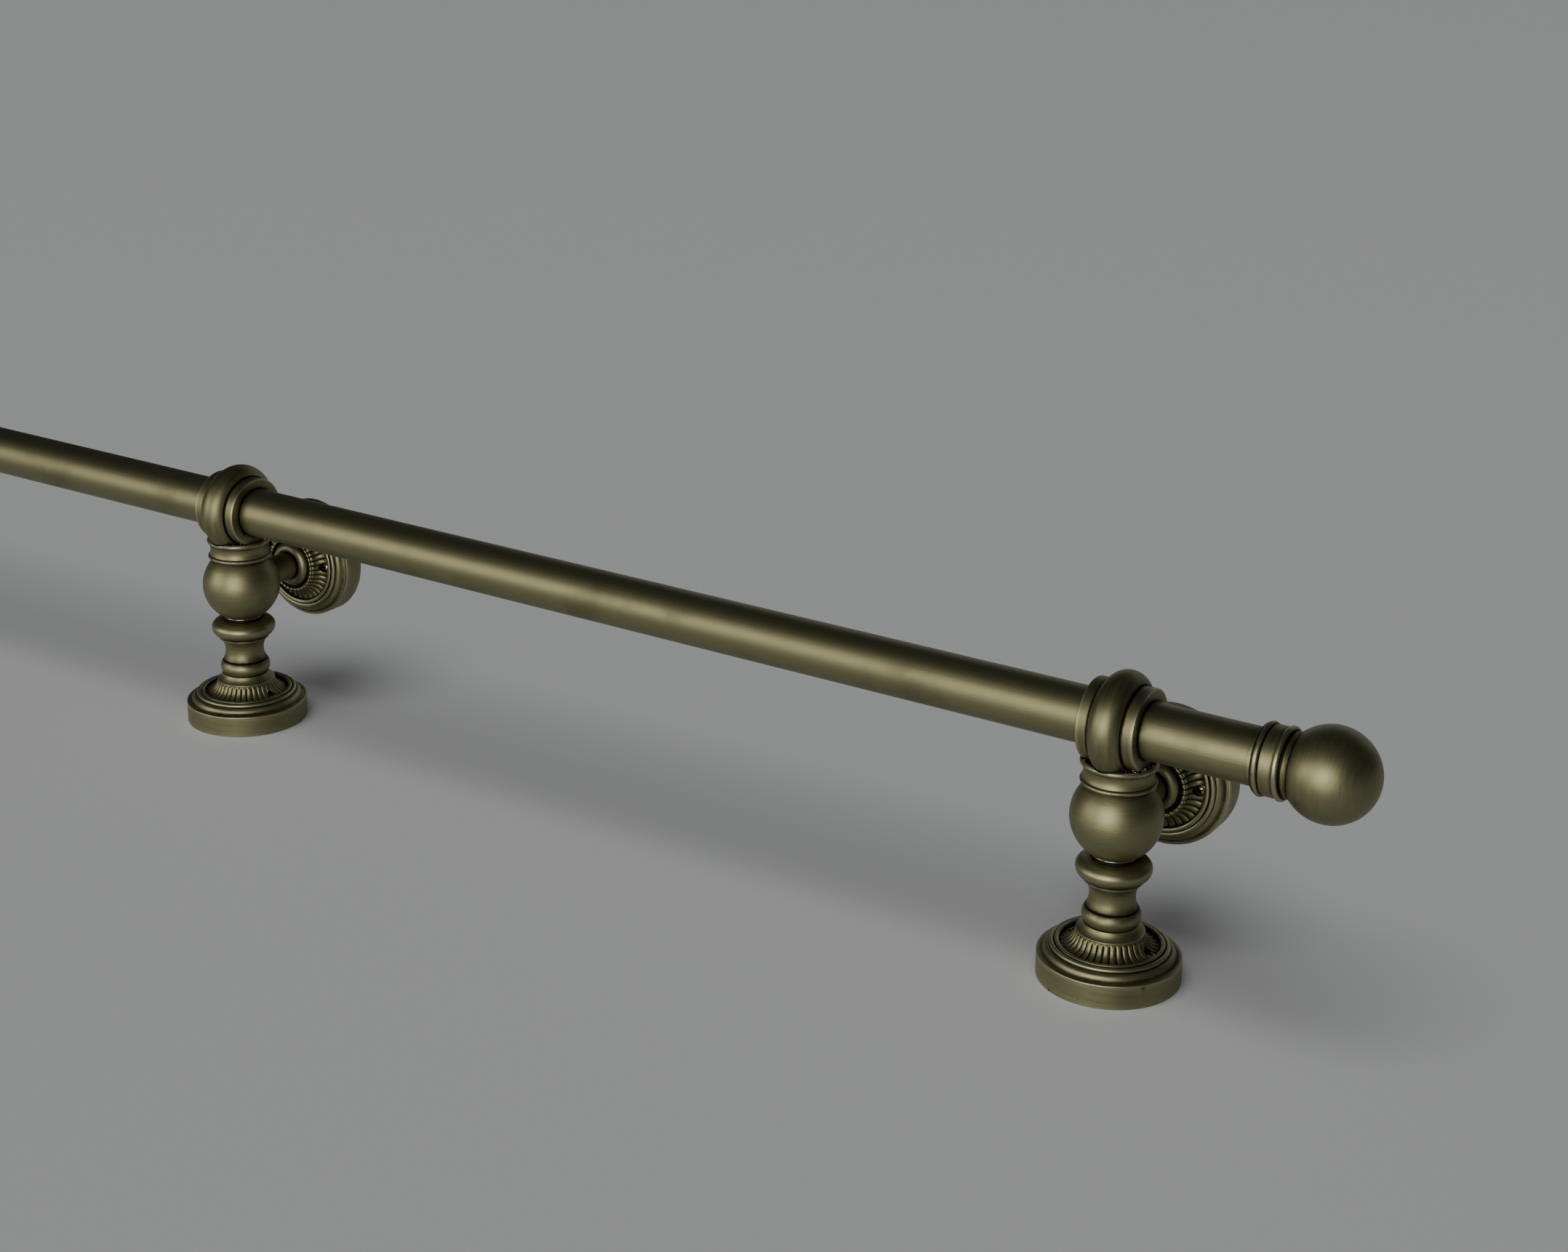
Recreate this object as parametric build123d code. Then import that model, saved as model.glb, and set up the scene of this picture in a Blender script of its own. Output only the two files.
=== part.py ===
from build123d import *
import math
import os

os.makedirs("parts", exist_ok=True)

# All sizes are in millimetres, with the floor at Z = 0, the rail along X and the wall on the +Y side.

# Rail tube and the places of the three brackets
tube_diameter = 50.8
tube_wall = 1.6
bracket_spacing = 1040.0
end_overhang = 128.5

# Clamp ring that the tube runs through
ring_collar_wall = 11.0
ring_collar_width = 11.6
ring_bulge_width = 30.4
ring_bulge_rise = 10.6
ring_bulge_step = 0.5
ring_edge_chamfer = 0.6
ring_thread_depth = 14.0
grub_diameter = 6.0
grub_length = 9.0
grub_angle = 30.0
grub_socket = 3.0

# Neck collar, a turned cup that carries the ring
collar_height = 21.8
collar_lip_radius = 34.3
collar_lip_height = 5.2
collar_waist_radius = 31.0
collar_edge_radius = 32.2
collar_bead_radius = 33.7
collar_bead_height = 3.9
collar_cup_wall = 2.8
collar_floor = 4.6
collar_pad_radius = 15.0
collar_seat_radius = 26.8

# Hub ball between the collar and the knop
ball_diameter = 82.0
knop_seat_radius = 20.2

# Knop ring under the ball
knop_radius = 33.8
knop_base_radius = 29.0
knop_lower_height = 8.7
knop_upper_height = 8.9
knop_shoulder_radius = 21.6
knop_seat_height = 3.3

# Stem with its hollow neck
stem_base_radius = 22.7
stem_base_height = 1.6
stem_neck_radius = 20.4
stem_lower_height = 10.1
stem_upper_height = 13.5
stem_cap_radius = 26.6
stem_cap_height = 3.8
stem_cap_flare = 1.2

# Flange casting, the same rim, mouldings and reeds for the floor and for the wall
flange_radius = 64.0
floor_rim_height = 22.3
wall_rim_height = 22.3
rim_round = 1.0
rim_ledge = 0.6
ogee_width = 9.0
ogee_rise = 6.5
moulding_ledge = 0.4
moulding_bead_width = 4.2
lip_width = 4.3
lip_depth = 4.5
flute_radius = 13.7
flute_rise = 20.5
flute_overhang = 0.7
flute_count = 36
flute_fill = 0.44
skirt_width = 6.0
skirt_rise = 8.0
skirt_edge = 0.8
bead_radius = 26.3
bead_height = 15.0
bead_bulge = 3.4
cast_wall = 5.5
rim_wall = 6.0
post_web_depth = 19.8

# Middle of the wall flange: a groove inside the reeds and a low round bead about the arm
boss_ledge = 1.2
boss_groove_depth = 2.3
boss_bead_radius = 24.2
boss_top_radius = 17.6
boss_height = 26.6
boss_edge_radius = 16.7
boss_edge_depth = 1.1
boss_web = 4.6

# Screws that hold a flange down
screw_circle_radius = 39.2
screw_count = 2
screw_diameter = 4.8
screw_head_radius = 5.4
screw_head_height = 3.6
screw_head_band = 1.1
screw_slot_width = 1.1
screw_slot_depth = 1.3
screw_boss_radius = 6.2
spot_face_depth = 0.3

# Wall arm between the hub ball and the wall flange
arm_diameter = 30.0
arm_exposed = 31.7
arm_ball_depth = 8.2
arm_socket_depth = 8.0

# Threaded rod, nuts and washers that draw each bracket together
rod_diameter = 10.0
rod_tail = 3.0
stud_engagement = 16.0
nut_flats = 17.0
nut_height = 8.0
washer_radius = 10.0
washer_thickness = 2.0

# Turned ferrule and ball at each end of the tube
ferrule_spigot_length = 32.0
ferrule_fillet_width = 1.2
ferrule_fillet_radius = 30.4
ferrule_bead_width = 6.6
ferrule_bead_radius = 32.2
ferrule_neck_radius = 28.4
ferrule_line_width = 0.6
ferrule_line_radius = 29.6
ferrule_band_width = 11.7
ferrule_band_radius = 30.6
ferrule_second_bead_width = 5.2
ferrule_groove_width = 1.6
ferrule_cove_length = 6.3
ferrule_seat_radius = 30.2
end_ball_diameter = 82.8
end_stud_length = 44.0

# Clearances
slip = 0.12
bore_clearance = 0.3
seat_gap = 0.05
ring_relief = 0.4

# Heights and depths that follow from the sizes above
tube_radius = tube_diameter / 2
rod_radius = rod_diameter / 2
rod_bore = rod_radius + bore_clearance
arm_radius = arm_diameter / 2
ball_radius = ball_diameter / 2
end_ball_radius = end_ball_diameter / 2

skirt_top_radius = bead_radius - bead_bulge + 1.6
skirt_edge_radius = skirt_top_radius + skirt_width
lip_inner_radius = flange_radius - rim_round - rim_ledge - ogee_width - moulding_ledge - moulding_bead_width - lip_width
flute_inner_radius = skirt_edge_radius - flute_overhang
flute_centre_radius = flute_inner_radius + flute_radius
flute_end_radius = min(flute_centre_radius, lip_inner_radius)
flute_end_drop = math.sqrt(flute_radius ** 2 - (flute_centre_radius - flute_end_radius) ** 2)
flute_floor = flute_rise - flute_end_drop
skirt_edge_height = flute_rise + 1.3
flange_body_height = skirt_edge_height + skirt_rise + bead_height

stem_height = stem_base_height + stem_lower_height + stem_upper_height + stem_cap_height
knop_height = knop_lower_height + knop_upper_height + knop_seat_height
ball_lower_land = math.sqrt(ball_radius ** 2 - (knop_seat_radius - 0.4) ** 2)
ball_upper_land = math.sqrt(ball_radius ** 2 - collar_seat_radius ** 2)

flange_top = floor_rim_height + flange_body_height
stem_top = flange_top + stem_height
knop_top = stem_top + knop_height
hub_height = knop_top + ball_lower_land
collar_base = hub_height + ball_upper_land

ring_collar_radius = tube_radius + ring_collar_wall
ring_bulge_radius = ring_collar_radius + ring_bulge_rise
ring_half_length = ring_bulge_width / 2 + ring_collar_width
ring_seat = collar_base + collar_floor + 2.4
rail_height = ring_seat + ring_bulge_radius

ball_face = math.sqrt(ball_radius ** 2 - arm_radius ** 2)
arm_start = ball_face - arm_ball_depth
wall_flange_height = wall_rim_height + boss_height
wall_distance = ball_face + arm_exposed + wall_flange_height
arm_end = wall_distance - wall_flange_height + arm_socket_depth

tube_length = 2 * (bracket_spacing + end_overhang)
bracket_places = {"left": -bracket_spacing, "middle": 0.0, "right": bracket_spacing}


def outline(*pieces):
    """Return a face on the XZ plane bounded by the given lines and arcs."""
    return Plane.XZ * make_face(Curve() + list(pieces))


def turned(*pieces):
    """Turn a profile of radius and height about the Z axis."""
    return revolve(outline(*pieces), Axis.Z)


def turned_along_rail(*pieces):
    """Turn a profile of length and radius about the X axis."""
    return revolve(outline(*pieces), Axis.X)


def rod(radius, low, high):
    """Return an upright round bar between two heights."""
    return Pos(0, 0, low) * Cylinder(radius, high - low, align=(Align.CENTER, Align.CENTER, Align.MIN))


def towards_wall(solid, depth):
    """Lay an upright solid down so that it points at the wall, with its base at the given depth."""
    return Pos(0, depth, hub_height) * Rot(-90, 0, 0) * solid


def on_wall(solid):
    """Hang an upright solid on the wall, with its base on the wall plane."""
    return Pos(0, wall_distance, hub_height) * Rot(90, 0, 0) * solid


def flange_profile(rim, middle):
    """Return the outer profile of the flange casting, from the rim's foot to the middle of its top."""
    rim_inner = flange_radius - rim_round - rim_ledge
    ogee_inner = rim_inner - ogee_width
    ledge_inner = ogee_inner - moulding_ledge
    bead_inner = ledge_inner - moulding_bead_width
    floor = rim + flute_floor
    lip_top = floor + lip_depth
    bead_top = lip_top - 1.5
    ogee_top = rim + ogee_rise
    centre = (flute_centre_radius, rim + flute_rise)
    swing = math.degrees(math.atan2(-flute_end_drop, flute_end_radius - flute_centre_radius))
    trough_angle = 180 - (180 + swing) / 2
    trough_mid = (
        centre[0] + flute_radius * math.cos(math.radians(-trough_angle)),
        centre[1] + flute_radius * math.sin(math.radians(-trough_angle)),
    )
    ogee_mid = (rim_inner - ogee_width / 2, rim + ogee_rise / 2)
    lower_ogee = TangentArc((rim_inner, rim), ogee_mid, tangent=(-1, 0))
    upper_ogee = TangentArc((ogee_inner, ogee_top), ogee_mid, tangent=(1, 0))
    bead_mid = (ledge_inner - 0.35 * moulding_bead_width, bead_top + 0.2)
    bead_end = bead_top - 1.0
    pieces = [
        Line((0, 0), (flange_radius, 0)),
        Line((flange_radius, 0), (flange_radius, rim - rim_round)),
        RadiusArc((flange_radius, rim - rim_round), (flange_radius - rim_round, rim), -rim_round),
        Line((flange_radius - rim_round, rim), (rim_inner, rim)),
        lower_ogee,
        upper_ogee,
        Line((ogee_inner, ogee_top), (ledge_inner, ogee_top + 0.2)),
        ThreePointArc((ledge_inner, ogee_top + 0.2), bead_mid, (bead_inner, bead_end)),
        Line((bead_inner, bead_end), (bead_inner - 0.4, bead_end - 0.3)),
        Line((bead_inner - 0.4, bead_end - 0.3), (bead_inner - 0.4, lip_top - 0.8)),
        ThreePointArc(
            (bead_inner - 0.4, lip_top - 0.8),
            (bead_inner - 0.2 - lip_width / 2, lip_top),
            (lip_inner_radius, lip_top - 0.8),
        ),
        Line((lip_inner_radius, lip_top - 0.8), (lip_inner_radius, floor)),
    ]
    if lip_inner_radius > flute_end_radius:
        pieces.append(Line((lip_inner_radius, floor), (flute_end_radius, floor)))
    pieces.append(ThreePointArc((flute_end_radius, floor), trough_mid, (flute_inner_radius, centre[1])))
    return pieces + middle


def post_middle(rim):
    """Return the middle of the floor flange's profile: a skirt and a bead that carry the stem."""
    edge = rim + skirt_edge_height
    skirt_top = edge + skirt_rise
    bead_base = bead_radius - bead_bulge
    top = rim + flange_body_height
    return [
        Line((flute_inner_radius, rim + flute_rise), (flute_inner_radius, edge)),
        Line((flute_inner_radius, edge), (skirt_edge_radius, edge)),
        Line((skirt_edge_radius, edge), (skirt_edge_radius - 0.1, edge + skirt_edge)),
        ThreePointArc(
            (skirt_edge_radius - 0.1, edge + skirt_edge),
            ((skirt_edge_radius + skirt_top_radius) / 2 - 0.7, (edge + skirt_top) / 2 - 0.3),
            (skirt_top_radius, skirt_top),
        ),
        Line((skirt_top_radius, skirt_top), (bead_base, skirt_top)),
        ThreePointArc((bead_base, skirt_top), (bead_radius, (skirt_top + top) / 2), (bead_base, top)),
        Line((bead_base, top), (0, top)),
        Line((0, top), (0, 0)),
    ]


def arm_middle(rim):
    """Return the middle of the wall flange's profile: a groove inside the reeds and a low bead about the arm."""
    ledge = rim + flute_rise + 0.8
    ledge_radius = flute_inner_radius - boss_ledge
    groove = rim + flute_rise - boss_groove_depth
    top = rim + boss_height
    edge = top - boss_edge_depth
    bead_mid = (boss_bead_radius - 1.8, groove + 0.74 * (top - groove))
    return [
        Line((flute_inner_radius, rim + flute_rise), (flute_inner_radius, ledge)),
        Line((flute_inner_radius, ledge), (ledge_radius, ledge)),
        Line((ledge_radius, ledge), (ledge_radius - 1, groove + 0.4)),
        Line((ledge_radius - 1, groove + 0.4), (boss_bead_radius, groove)),
        ThreePointArc((boss_bead_radius, groove), bead_mid, (boss_top_radius, top)),
        Line((boss_top_radius, top), (boss_edge_radius, top)),
        Line((boss_edge_radius, top), (boss_edge_radius, edge)),
        Line((boss_edge_radius, edge), (0, edge)),
        Line((0, edge), (0, 0)),
    ]


def reed(rim):
    """Return one round reed that lies in the trough, from under the skirt to the foot of the lip."""
    pitch = 2 * math.pi * flute_inner_radius / flute_count
    radius = flute_fill * pitch
    sink = 0.4 * radius
    path = flute_radius + sink
    height = rim + flute_rise
    reach = lip_inner_radius + 0.6 - flute_centre_radius
    start = math.degrees(math.asin((radius - 0.8) / path))
    end = 90 + math.degrees(math.asin(min(reach, 2.0) / path))
    pivot = Pos(flute_centre_radius, 0, height)
    face = pivot * Pos(-path, 0, 0) * Circle(radius)
    axis = Axis((flute_centre_radius, 0, height), (0, -1, 0))
    bar = revolve(face, axis, end - start) + pivot * Pos(-path, 0, 0) * Sphere(radius)
    bar = pivot * Rot(0, -start, 0) * Pos(-flute_centre_radius, 0, -height) * bar
    if reach > 2.0:
        tail = Plane.YZ.offset(flute_centre_radius) * Pos(0, height - path) * Circle(radius)
        bar += extrude(tail, reach)
    return bar


def flange(rim, middle, hollow_top):
    """Return the flange casting: mouldings, reeded trough, hollow back, screw bosses and bore."""
    body = turned(*flange_profile(rim, middle))
    one = reed(rim)
    body += [Rot(0, 0, 360 * n / flute_count) * one for n in range(flute_count)]
    floor = rim + flute_floor
    roof = floor - cast_wall
    hollow_points = [
        (0, 0),
        (flange_radius - rim_wall, 0),
        (flange_radius - rim_wall, rim - 5),
        (lip_inner_radius + 2, roof),
        (flute_inner_radius + cast_wall, roof),
        (bead_radius - 8, hollow_top),
        (0, hollow_top),
    ]
    hollow = revolve(Plane.XZ * make_face(Polyline(*hollow_points, close=True)), Axis.Z)
    seat = floor - spot_face_depth
    for place in PolarLocations(screw_circle_radius, screw_count):
        hollow -= place * rod(screw_boss_radius, 0, roof + 1)
    body -= hollow
    for place in PolarLocations(screw_circle_radius, screw_count):
        body -= place * rod(screw_head_radius + 0.2, seat, rim + flange_body_height)
        body -= place * rod(screw_diameter / 2 + bore_clearance, 0, seat)
    return body - rod(rod_bore, hollow_top - 1, rim + flange_body_height + 1)


def flange_screws(rim):
    """Return the group of dome-headed screws of one flange, cut off at the mounting plane."""
    seat = rim + flute_floor - spot_face_depth
    band = seat + screw_head_band
    dome_radius = screw_head_radius - 0.8
    top = seat + screw_head_height
    shank = screw_diameter / 2
    screw = turned(
        Line((0, 0), (shank, 0)),
        Line((shank, 0), (shank, seat)),
        Line((shank, seat), (screw_head_radius, seat)),
        Line((screw_head_radius, seat), (screw_head_radius, band)),
        Line((screw_head_radius, band), (dome_radius, band)),
        ThreePointArc(
            (dome_radius, band),
            (dome_radius * 0.72, band + 0.7 * (top - band)),
            (0, top),
        ),
        Line((0, top), (0, 0)),
    )
    slot = Pos(0, 0, top - screw_slot_depth) * Box(
        2 * dome_radius, screw_slot_width, 2 * screw_slot_depth, align=(Align.CENTER, Align.CENTER, Align.MIN)
    )
    screw -= slot
    places = PolarLocations(screw_circle_radius, screw_count)
    return Compound(children=[place * screw for place in places])


def stem():
    """Return the stem: a narrow base band, a hollow neck and a flat cap."""
    low = stem_base_height
    waist = low + stem_lower_height
    high = waist + stem_upper_height
    neck_top = stem_cap_radius - stem_cap_flare
    body = turned(
        Line((0, 0), (stem_base_radius, 0)),
        Line((stem_base_radius, 0), (stem_base_radius, low)),
        Line((stem_base_radius, low), (stem_base_radius - 0.4, low)),
        TangentArc((stem_neck_radius, waist), (stem_base_radius - 0.4, low), tangent=(0, -1)),
        TangentArc((stem_neck_radius, waist), (neck_top, high), tangent=(0, 1)),
        Line((neck_top, high), (stem_cap_radius, high)),
        Line((stem_cap_radius, high), (stem_cap_radius, stem_height)),
        Line((stem_cap_radius, stem_height), (0, stem_height)),
        Line((0, stem_height), (0, 0)),
    )
    return Pos(0, 0, flange_top) * (body - rod(rod_bore, -1, stem_height + 1))


def knop_ring():
    """Return the round knop with the raised seat for the ball."""
    shoulder = knop_lower_height + knop_upper_height
    bulge = knop_radius - knop_shoulder_radius
    body = turned(
        Line((0, 0), (knop_base_radius, 0)),
        TangentArc((knop_radius, knop_lower_height), (knop_base_radius, 0), tangent=(0, -1)),
        EllipticalCenterArc((knop_shoulder_radius, knop_lower_height), bulge, knop_upper_height, 0, arc_size=90),
        Line((knop_shoulder_radius, shoulder), (knop_seat_radius, shoulder)),
        Line((knop_seat_radius, shoulder), (knop_seat_radius, knop_height)),
        Line((knop_seat_radius, knop_height), (0, knop_height)),
        Line((0, knop_height), (0, 0)),
    )
    return Pos(0, 0, stem_top) * (body - rod(rod_bore, -1, knop_height + 1))


def hub_ball():
    """Return the hub ball with its two lands, the bore, the arm socket and the stud's hole."""
    ball = Pos(0, 0, hub_height) * Sphere(ball_radius)
    body = ball & rod(ball_radius + 1, knop_top, collar_base)
    body -= rod(rod_bore, knop_top - 1, collar_base + 1)
    body -= towards_wall(rod(arm_radius + slip, 0, ball_radius), arm_start)
    return body - towards_wall(rod(rod_radius + slip, -stud_engagement, 1), arm_start)


def ring_body(extra):
    """Return the ring's solid form about the X axis, grown by a relief on every side."""
    half = ring_half_length + extra
    collar = ring_collar_radius + extra
    shoulder = ring_bulge_width / 2 + extra
    rise = collar + ring_bulge_step
    cut = ring_edge_chamfer
    return turned_along_rail(
        Line((-half, 0), (half, 0)),
        Line((half, 0), (half, collar - cut)),
        Line((half, collar - cut), (half - cut, collar)),
        Line((half - cut, collar), (shoulder, collar)),
        Line((shoulder, collar), (shoulder, rise)),
        ThreePointArc((shoulder, rise), (0, ring_bulge_radius + extra), (-shoulder, rise)),
        Line((-shoulder, rise), (-shoulder, collar)),
        Line((-shoulder, collar), (-half + cut, collar)),
        Line((-half + cut, collar), (-half, collar - cut)),
        Line((-half, collar - cut), (-half, 0)),
    )


def grub_place():
    """Return the place of the grub screw, which looks down and back out of the ring's side collar."""
    along = (ring_bulge_width + ring_collar_width) / 2
    return Pos(along, 0, rail_height) * Rot(-grub_angle, 0, 0)


def rail_ring():
    """Return the clamp ring with its bore, its rod thread and its grub screw hole."""
    bore = Rot(0, 90, 0) * Cylinder(tube_radius + slip, 4 * ring_half_length)
    body = Pos(0, 0, rail_height) * (ring_body(0) - bore)
    body -= rod(rod_radius + slip, ring_seat - 1, ring_seat + ring_thread_depth)
    hole = Rot(-90, 0, 0) * rod(grub_diameter / 2 + slip, 0, 2 * ring_collar_radius)
    return body - grub_place() * hole


def grub_screw():
    """Return the grub screw with its hexagon socket, its tip on the tube."""
    tip = tube_radius + seat_gap
    body = rod(grub_diameter / 2, tip, tip + grub_length)
    socket = Plane.XY.offset(tip + grub_length) * RegularPolygon(grub_socket / 2, 6, major_radius=False)
    body -= extrude(socket, -grub_socket)
    return grub_place() * Rot(-90, 0, 0) * body


def neck_collar():
    """Return the cupped neck collar, coped to the ring, with the pad that the ring sits on."""
    edge = collar_bead_height + 0.9
    lip_low = collar_height - collar_lip_height
    lip_mid = collar_height - collar_lip_height / 2
    cup = collar_waist_radius - collar_cup_wall
    cup_mouth = collar_lip_radius - 2.9
    shell = turned(
        Line((0, 0), (collar_bead_radius - 1.9, 0)),
        ThreePointArc(
            (collar_bead_radius - 1.9, 0),
            (collar_bead_radius, collar_bead_height / 2),
            (collar_bead_radius - 1.7, collar_bead_height),
        ),
        Line((collar_bead_radius - 1.7, collar_bead_height), (collar_waist_radius + 0.4, collar_bead_height)),
        Line((collar_waist_radius + 0.4, collar_bead_height), (collar_edge_radius, edge)),
        ThreePointArc(
            (collar_edge_radius, edge),
            (collar_waist_radius, (edge + lip_low) / 2),
            (collar_lip_radius - 2.2, lip_low),
        ),
        ThreePointArc(
            (collar_lip_radius - 2.2, lip_low),
            (collar_lip_radius, lip_mid),
            (collar_lip_radius - 1.8, collar_height),
        ),
        Line((collar_lip_radius - 1.8, collar_height), (cup_mouth, collar_height)),
        Line((cup_mouth, collar_height), (cup, collar_floor + 4)),
        Line((cup, collar_floor + 4), (cup - 2, collar_floor)),
        Line((cup - 2, collar_floor), (0, collar_floor)),
        Line((0, collar_floor), (0, 0)),
    )
    shell = Pos(0, 0, collar_base) * shell - Pos(0, 0, rail_height) * ring_body(ring_relief)
    pad = rod(collar_pad_radius, collar_base + 1, rail_height) - Pos(0, 0, rail_height) * ring_body(seat_gap)
    return shell + pad - rod(rod_bore, collar_base - 1, ring_seat + 1)


def hex_nut(low):
    """Return a hexagon nut that stands on the given height."""
    body = Plane.XY.offset(low) * RegularPolygon(nut_flats / 2, 6, major_radius=False)
    return extrude(body, nut_height) - rod(rod_radius + slip, low - 1, low + nut_height + 1)


def washer(low):
    """Return a flat washer that lies on the given height."""
    return rod(washer_radius, low, low + washer_thickness) - rod(rod_bore, low - 1, low + washer_thickness + 1)


def bracket_pieces():
    """Return every piece of one bracket, standing at X = 0, by name."""
    floor_web = flange_top - post_web_depth
    nut_low = floor_web - washer_thickness - nut_height
    wall_web = wall_flange_height - arm_socket_depth - boss_web
    wall_nut = wall_web - washer_thickness - nut_height
    stud_low = wall_nut - rod_tail
    stud_high = wall_distance - arm_start + stud_engagement - seat_gap
    socket_floor = wall_flange_height - arm_socket_depth
    arm_bar = rod(arm_radius, 0, arm_end - arm_start) - rod(rod_bore, -1, arm_end - arm_start + 1)
    wall_casting = flange(wall_rim_height, arm_middle(wall_rim_height), wall_web)
    wall_casting -= rod(arm_radius + slip, socket_floor, wall_flange_height + 1)
    return {
        "rail_ring": rail_ring(),
        "neck_collar": neck_collar(),
        "hub_ball": hub_ball(),
        "knop_ring": knop_ring(),
        "stem": stem(),
        "floor_flange": flange(floor_rim_height, post_middle(floor_rim_height), floor_web),
        "floor_screws": flange_screws(floor_rim_height),
        "tie_rod": rod(rod_radius, nut_low - rod_tail, ring_seat + ring_thread_depth - seat_gap),
        "tie_nut": hex_nut(nut_low),
        "tie_washer": washer(nut_low + nut_height),
        "wall_arm": towards_wall(arm_bar, arm_start),
        "wall_flange": on_wall(wall_casting),
        "wall_screws": on_wall(flange_screws(wall_rim_height)),
        "arm_stud": on_wall(rod(rod_radius, stud_low, stud_high)),
        "arm_nut": on_wall(hex_nut(wall_nut)),
        "arm_washer": on_wall(washer(wall_nut + nut_height)),
        "grub_screw": grub_screw(),
    }


def rail_tube():
    """Return the hollow rail tube, centred on the middle bracket."""
    outer = Rot(0, 90, 0) * Cylinder(tube_radius, tube_length)
    inner = Rot(0, 90, 0) * Cylinder(tube_radius - tube_wall, tube_length + 2)
    return Pos(0, 0, rail_height) * (outer - inner)


ferrule_band_end = ferrule_bead_width + ferrule_line_width + ferrule_band_width
ferrule_length = ferrule_band_end + ferrule_second_bead_width + ferrule_groove_width + ferrule_cove_length
end_ball_land = math.sqrt(end_ball_radius ** 2 - (ferrule_seat_radius + 0.3) ** 2)


def end_pieces():
    """Return the ferrule, ball and stud of the right-hand tube end, with the tube's end at X = 0."""
    spigot = tube_radius - tube_wall - slip
    fillet = ferrule_fillet_width
    first = ferrule_bead_width
    line = first + ferrule_line_width
    band = ferrule_band_end
    second = band + ferrule_second_bead_width
    cove = second + ferrule_groove_width
    neck = ferrule_neck_radius
    ferrule = turned_along_rail(
        Line((-ferrule_spigot_length, 0), (-ferrule_spigot_length, spigot)),
        Line((-ferrule_spigot_length, spigot), (0, spigot)),
        Line((0, spigot), (0, ferrule_fillet_radius)),
        Line((0, ferrule_fillet_radius), (fillet, ferrule_fillet_radius)),
        ThreePointArc(
            (fillet, ferrule_fillet_radius),
            ((fillet + first) / 2, ferrule_bead_radius),
            (first, ferrule_line_radius),
        ),
        Line((first, ferrule_line_radius), (line, ferrule_line_radius)),
        Line((line, ferrule_line_radius), (line, ferrule_band_radius)),
        Line((line, ferrule_band_radius), (band, ferrule_band_radius)),
        ThreePointArc((band, ferrule_band_radius), ((band + second) / 2, ferrule_bead_radius), (second, neck)),
        Line((second, neck), (cove, neck)),
        TangentArc((cove, neck), (ferrule_length, ferrule_seat_radius), tangent=(1, 0)),
        Line((ferrule_length, ferrule_seat_radius), (ferrule_length, 0)),
        Line((ferrule_length, 0), (-ferrule_spigot_length, 0)),
    )
    stud_start = ferrule_length - end_stud_length / 2
    lying = Rot(0, 90, 0)
    hole = lying * rod(rod_radius + slip, stud_start, stud_start + end_stud_length)
    stud = lying * rod(rod_radius, stud_start + seat_gap, stud_start + end_stud_length - seat_gap)
    ball = Pos(ferrule_length + end_ball_land, 0, 0) * Sphere(end_ball_radius)
    ball &= lying * rod(end_ball_radius + 1, ferrule_length, ferrule_length + 3 * end_ball_radius)
    return {"end_ferrule": ferrule - hole, "end_ball": ball - hole, "end_stud": stud}


def save(name, solid):
    """Write one node to its own file and print its size."""
    export_step(solid, "parts/" + name + ".step")
    size = solid.bounding_box().size
    print(f"{name:24s} {size.X:8.1f} {size.Y:8.1f} {size.Z:8.1f}  solids {len(solid.solids())}")


pieces = bracket_pieces()
for side, place in bracket_places.items():
    for name, solid in pieces.items():
        save(side + "_" + name, Pos(place, 0, 0) * solid)

save("rail_tube", rail_tube())
ends = end_pieces()
for name, solid in ends.items():
    save("right_" + name, Pos(tube_length / 2, 0, rail_height) * solid)
    save("left_" + name, Pos(-tube_length / 2, 0, rail_height) * Rot(0, 0, 180) * solid)

print("rail axis height", round(rail_height, 2), "wall distance", round(wall_distance, 2))
print("overall length", round(tube_length + 2 * (ferrule_length + end_ball_land + end_ball_radius), 1))
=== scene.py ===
# %% [markdown]
# # A brass bar foot rail
# The object is a drawn tube that runs along the foot of a bar on turned and cast brackets. The packed CAD
# model is the fixed frame: every piece made here stands exactly where its CAD node stands. The brass
# pieces are made again with finer rounding on their edges, because a burnished edge that catches the
# light is what makes brass look like brass. The hidden rods and washers stay as CAD nodes and only get a
# finish.
# %% Load the packed model
import math

import bmesh
import bpy
import numpy as np
from mathutils import Matrix, Vector


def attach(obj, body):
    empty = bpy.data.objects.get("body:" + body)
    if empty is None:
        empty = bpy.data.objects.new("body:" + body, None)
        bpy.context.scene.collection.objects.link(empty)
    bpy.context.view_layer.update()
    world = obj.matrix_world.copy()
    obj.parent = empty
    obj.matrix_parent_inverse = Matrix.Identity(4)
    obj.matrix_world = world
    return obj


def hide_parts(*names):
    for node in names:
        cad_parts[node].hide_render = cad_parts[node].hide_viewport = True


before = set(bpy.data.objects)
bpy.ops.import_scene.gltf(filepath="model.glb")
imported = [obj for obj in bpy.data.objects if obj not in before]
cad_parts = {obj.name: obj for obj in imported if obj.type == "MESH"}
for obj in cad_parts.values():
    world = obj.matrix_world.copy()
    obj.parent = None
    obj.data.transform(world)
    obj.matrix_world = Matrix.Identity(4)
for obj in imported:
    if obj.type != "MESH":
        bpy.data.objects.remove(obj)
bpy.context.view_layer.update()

# %% [markdown]
# ## The sizes
# The sizes are those of the CAD source, in millimetres, so that the two models agree. A turner reads such
# a list as radii and heights. Here are the sizes that more than one piece needs, and the heights that
# follow from them as the pieces are stacked. What only one piece needs stands beside its outline.
# %% Sizes of the rail and its brackets
MM = 0.001
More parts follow.
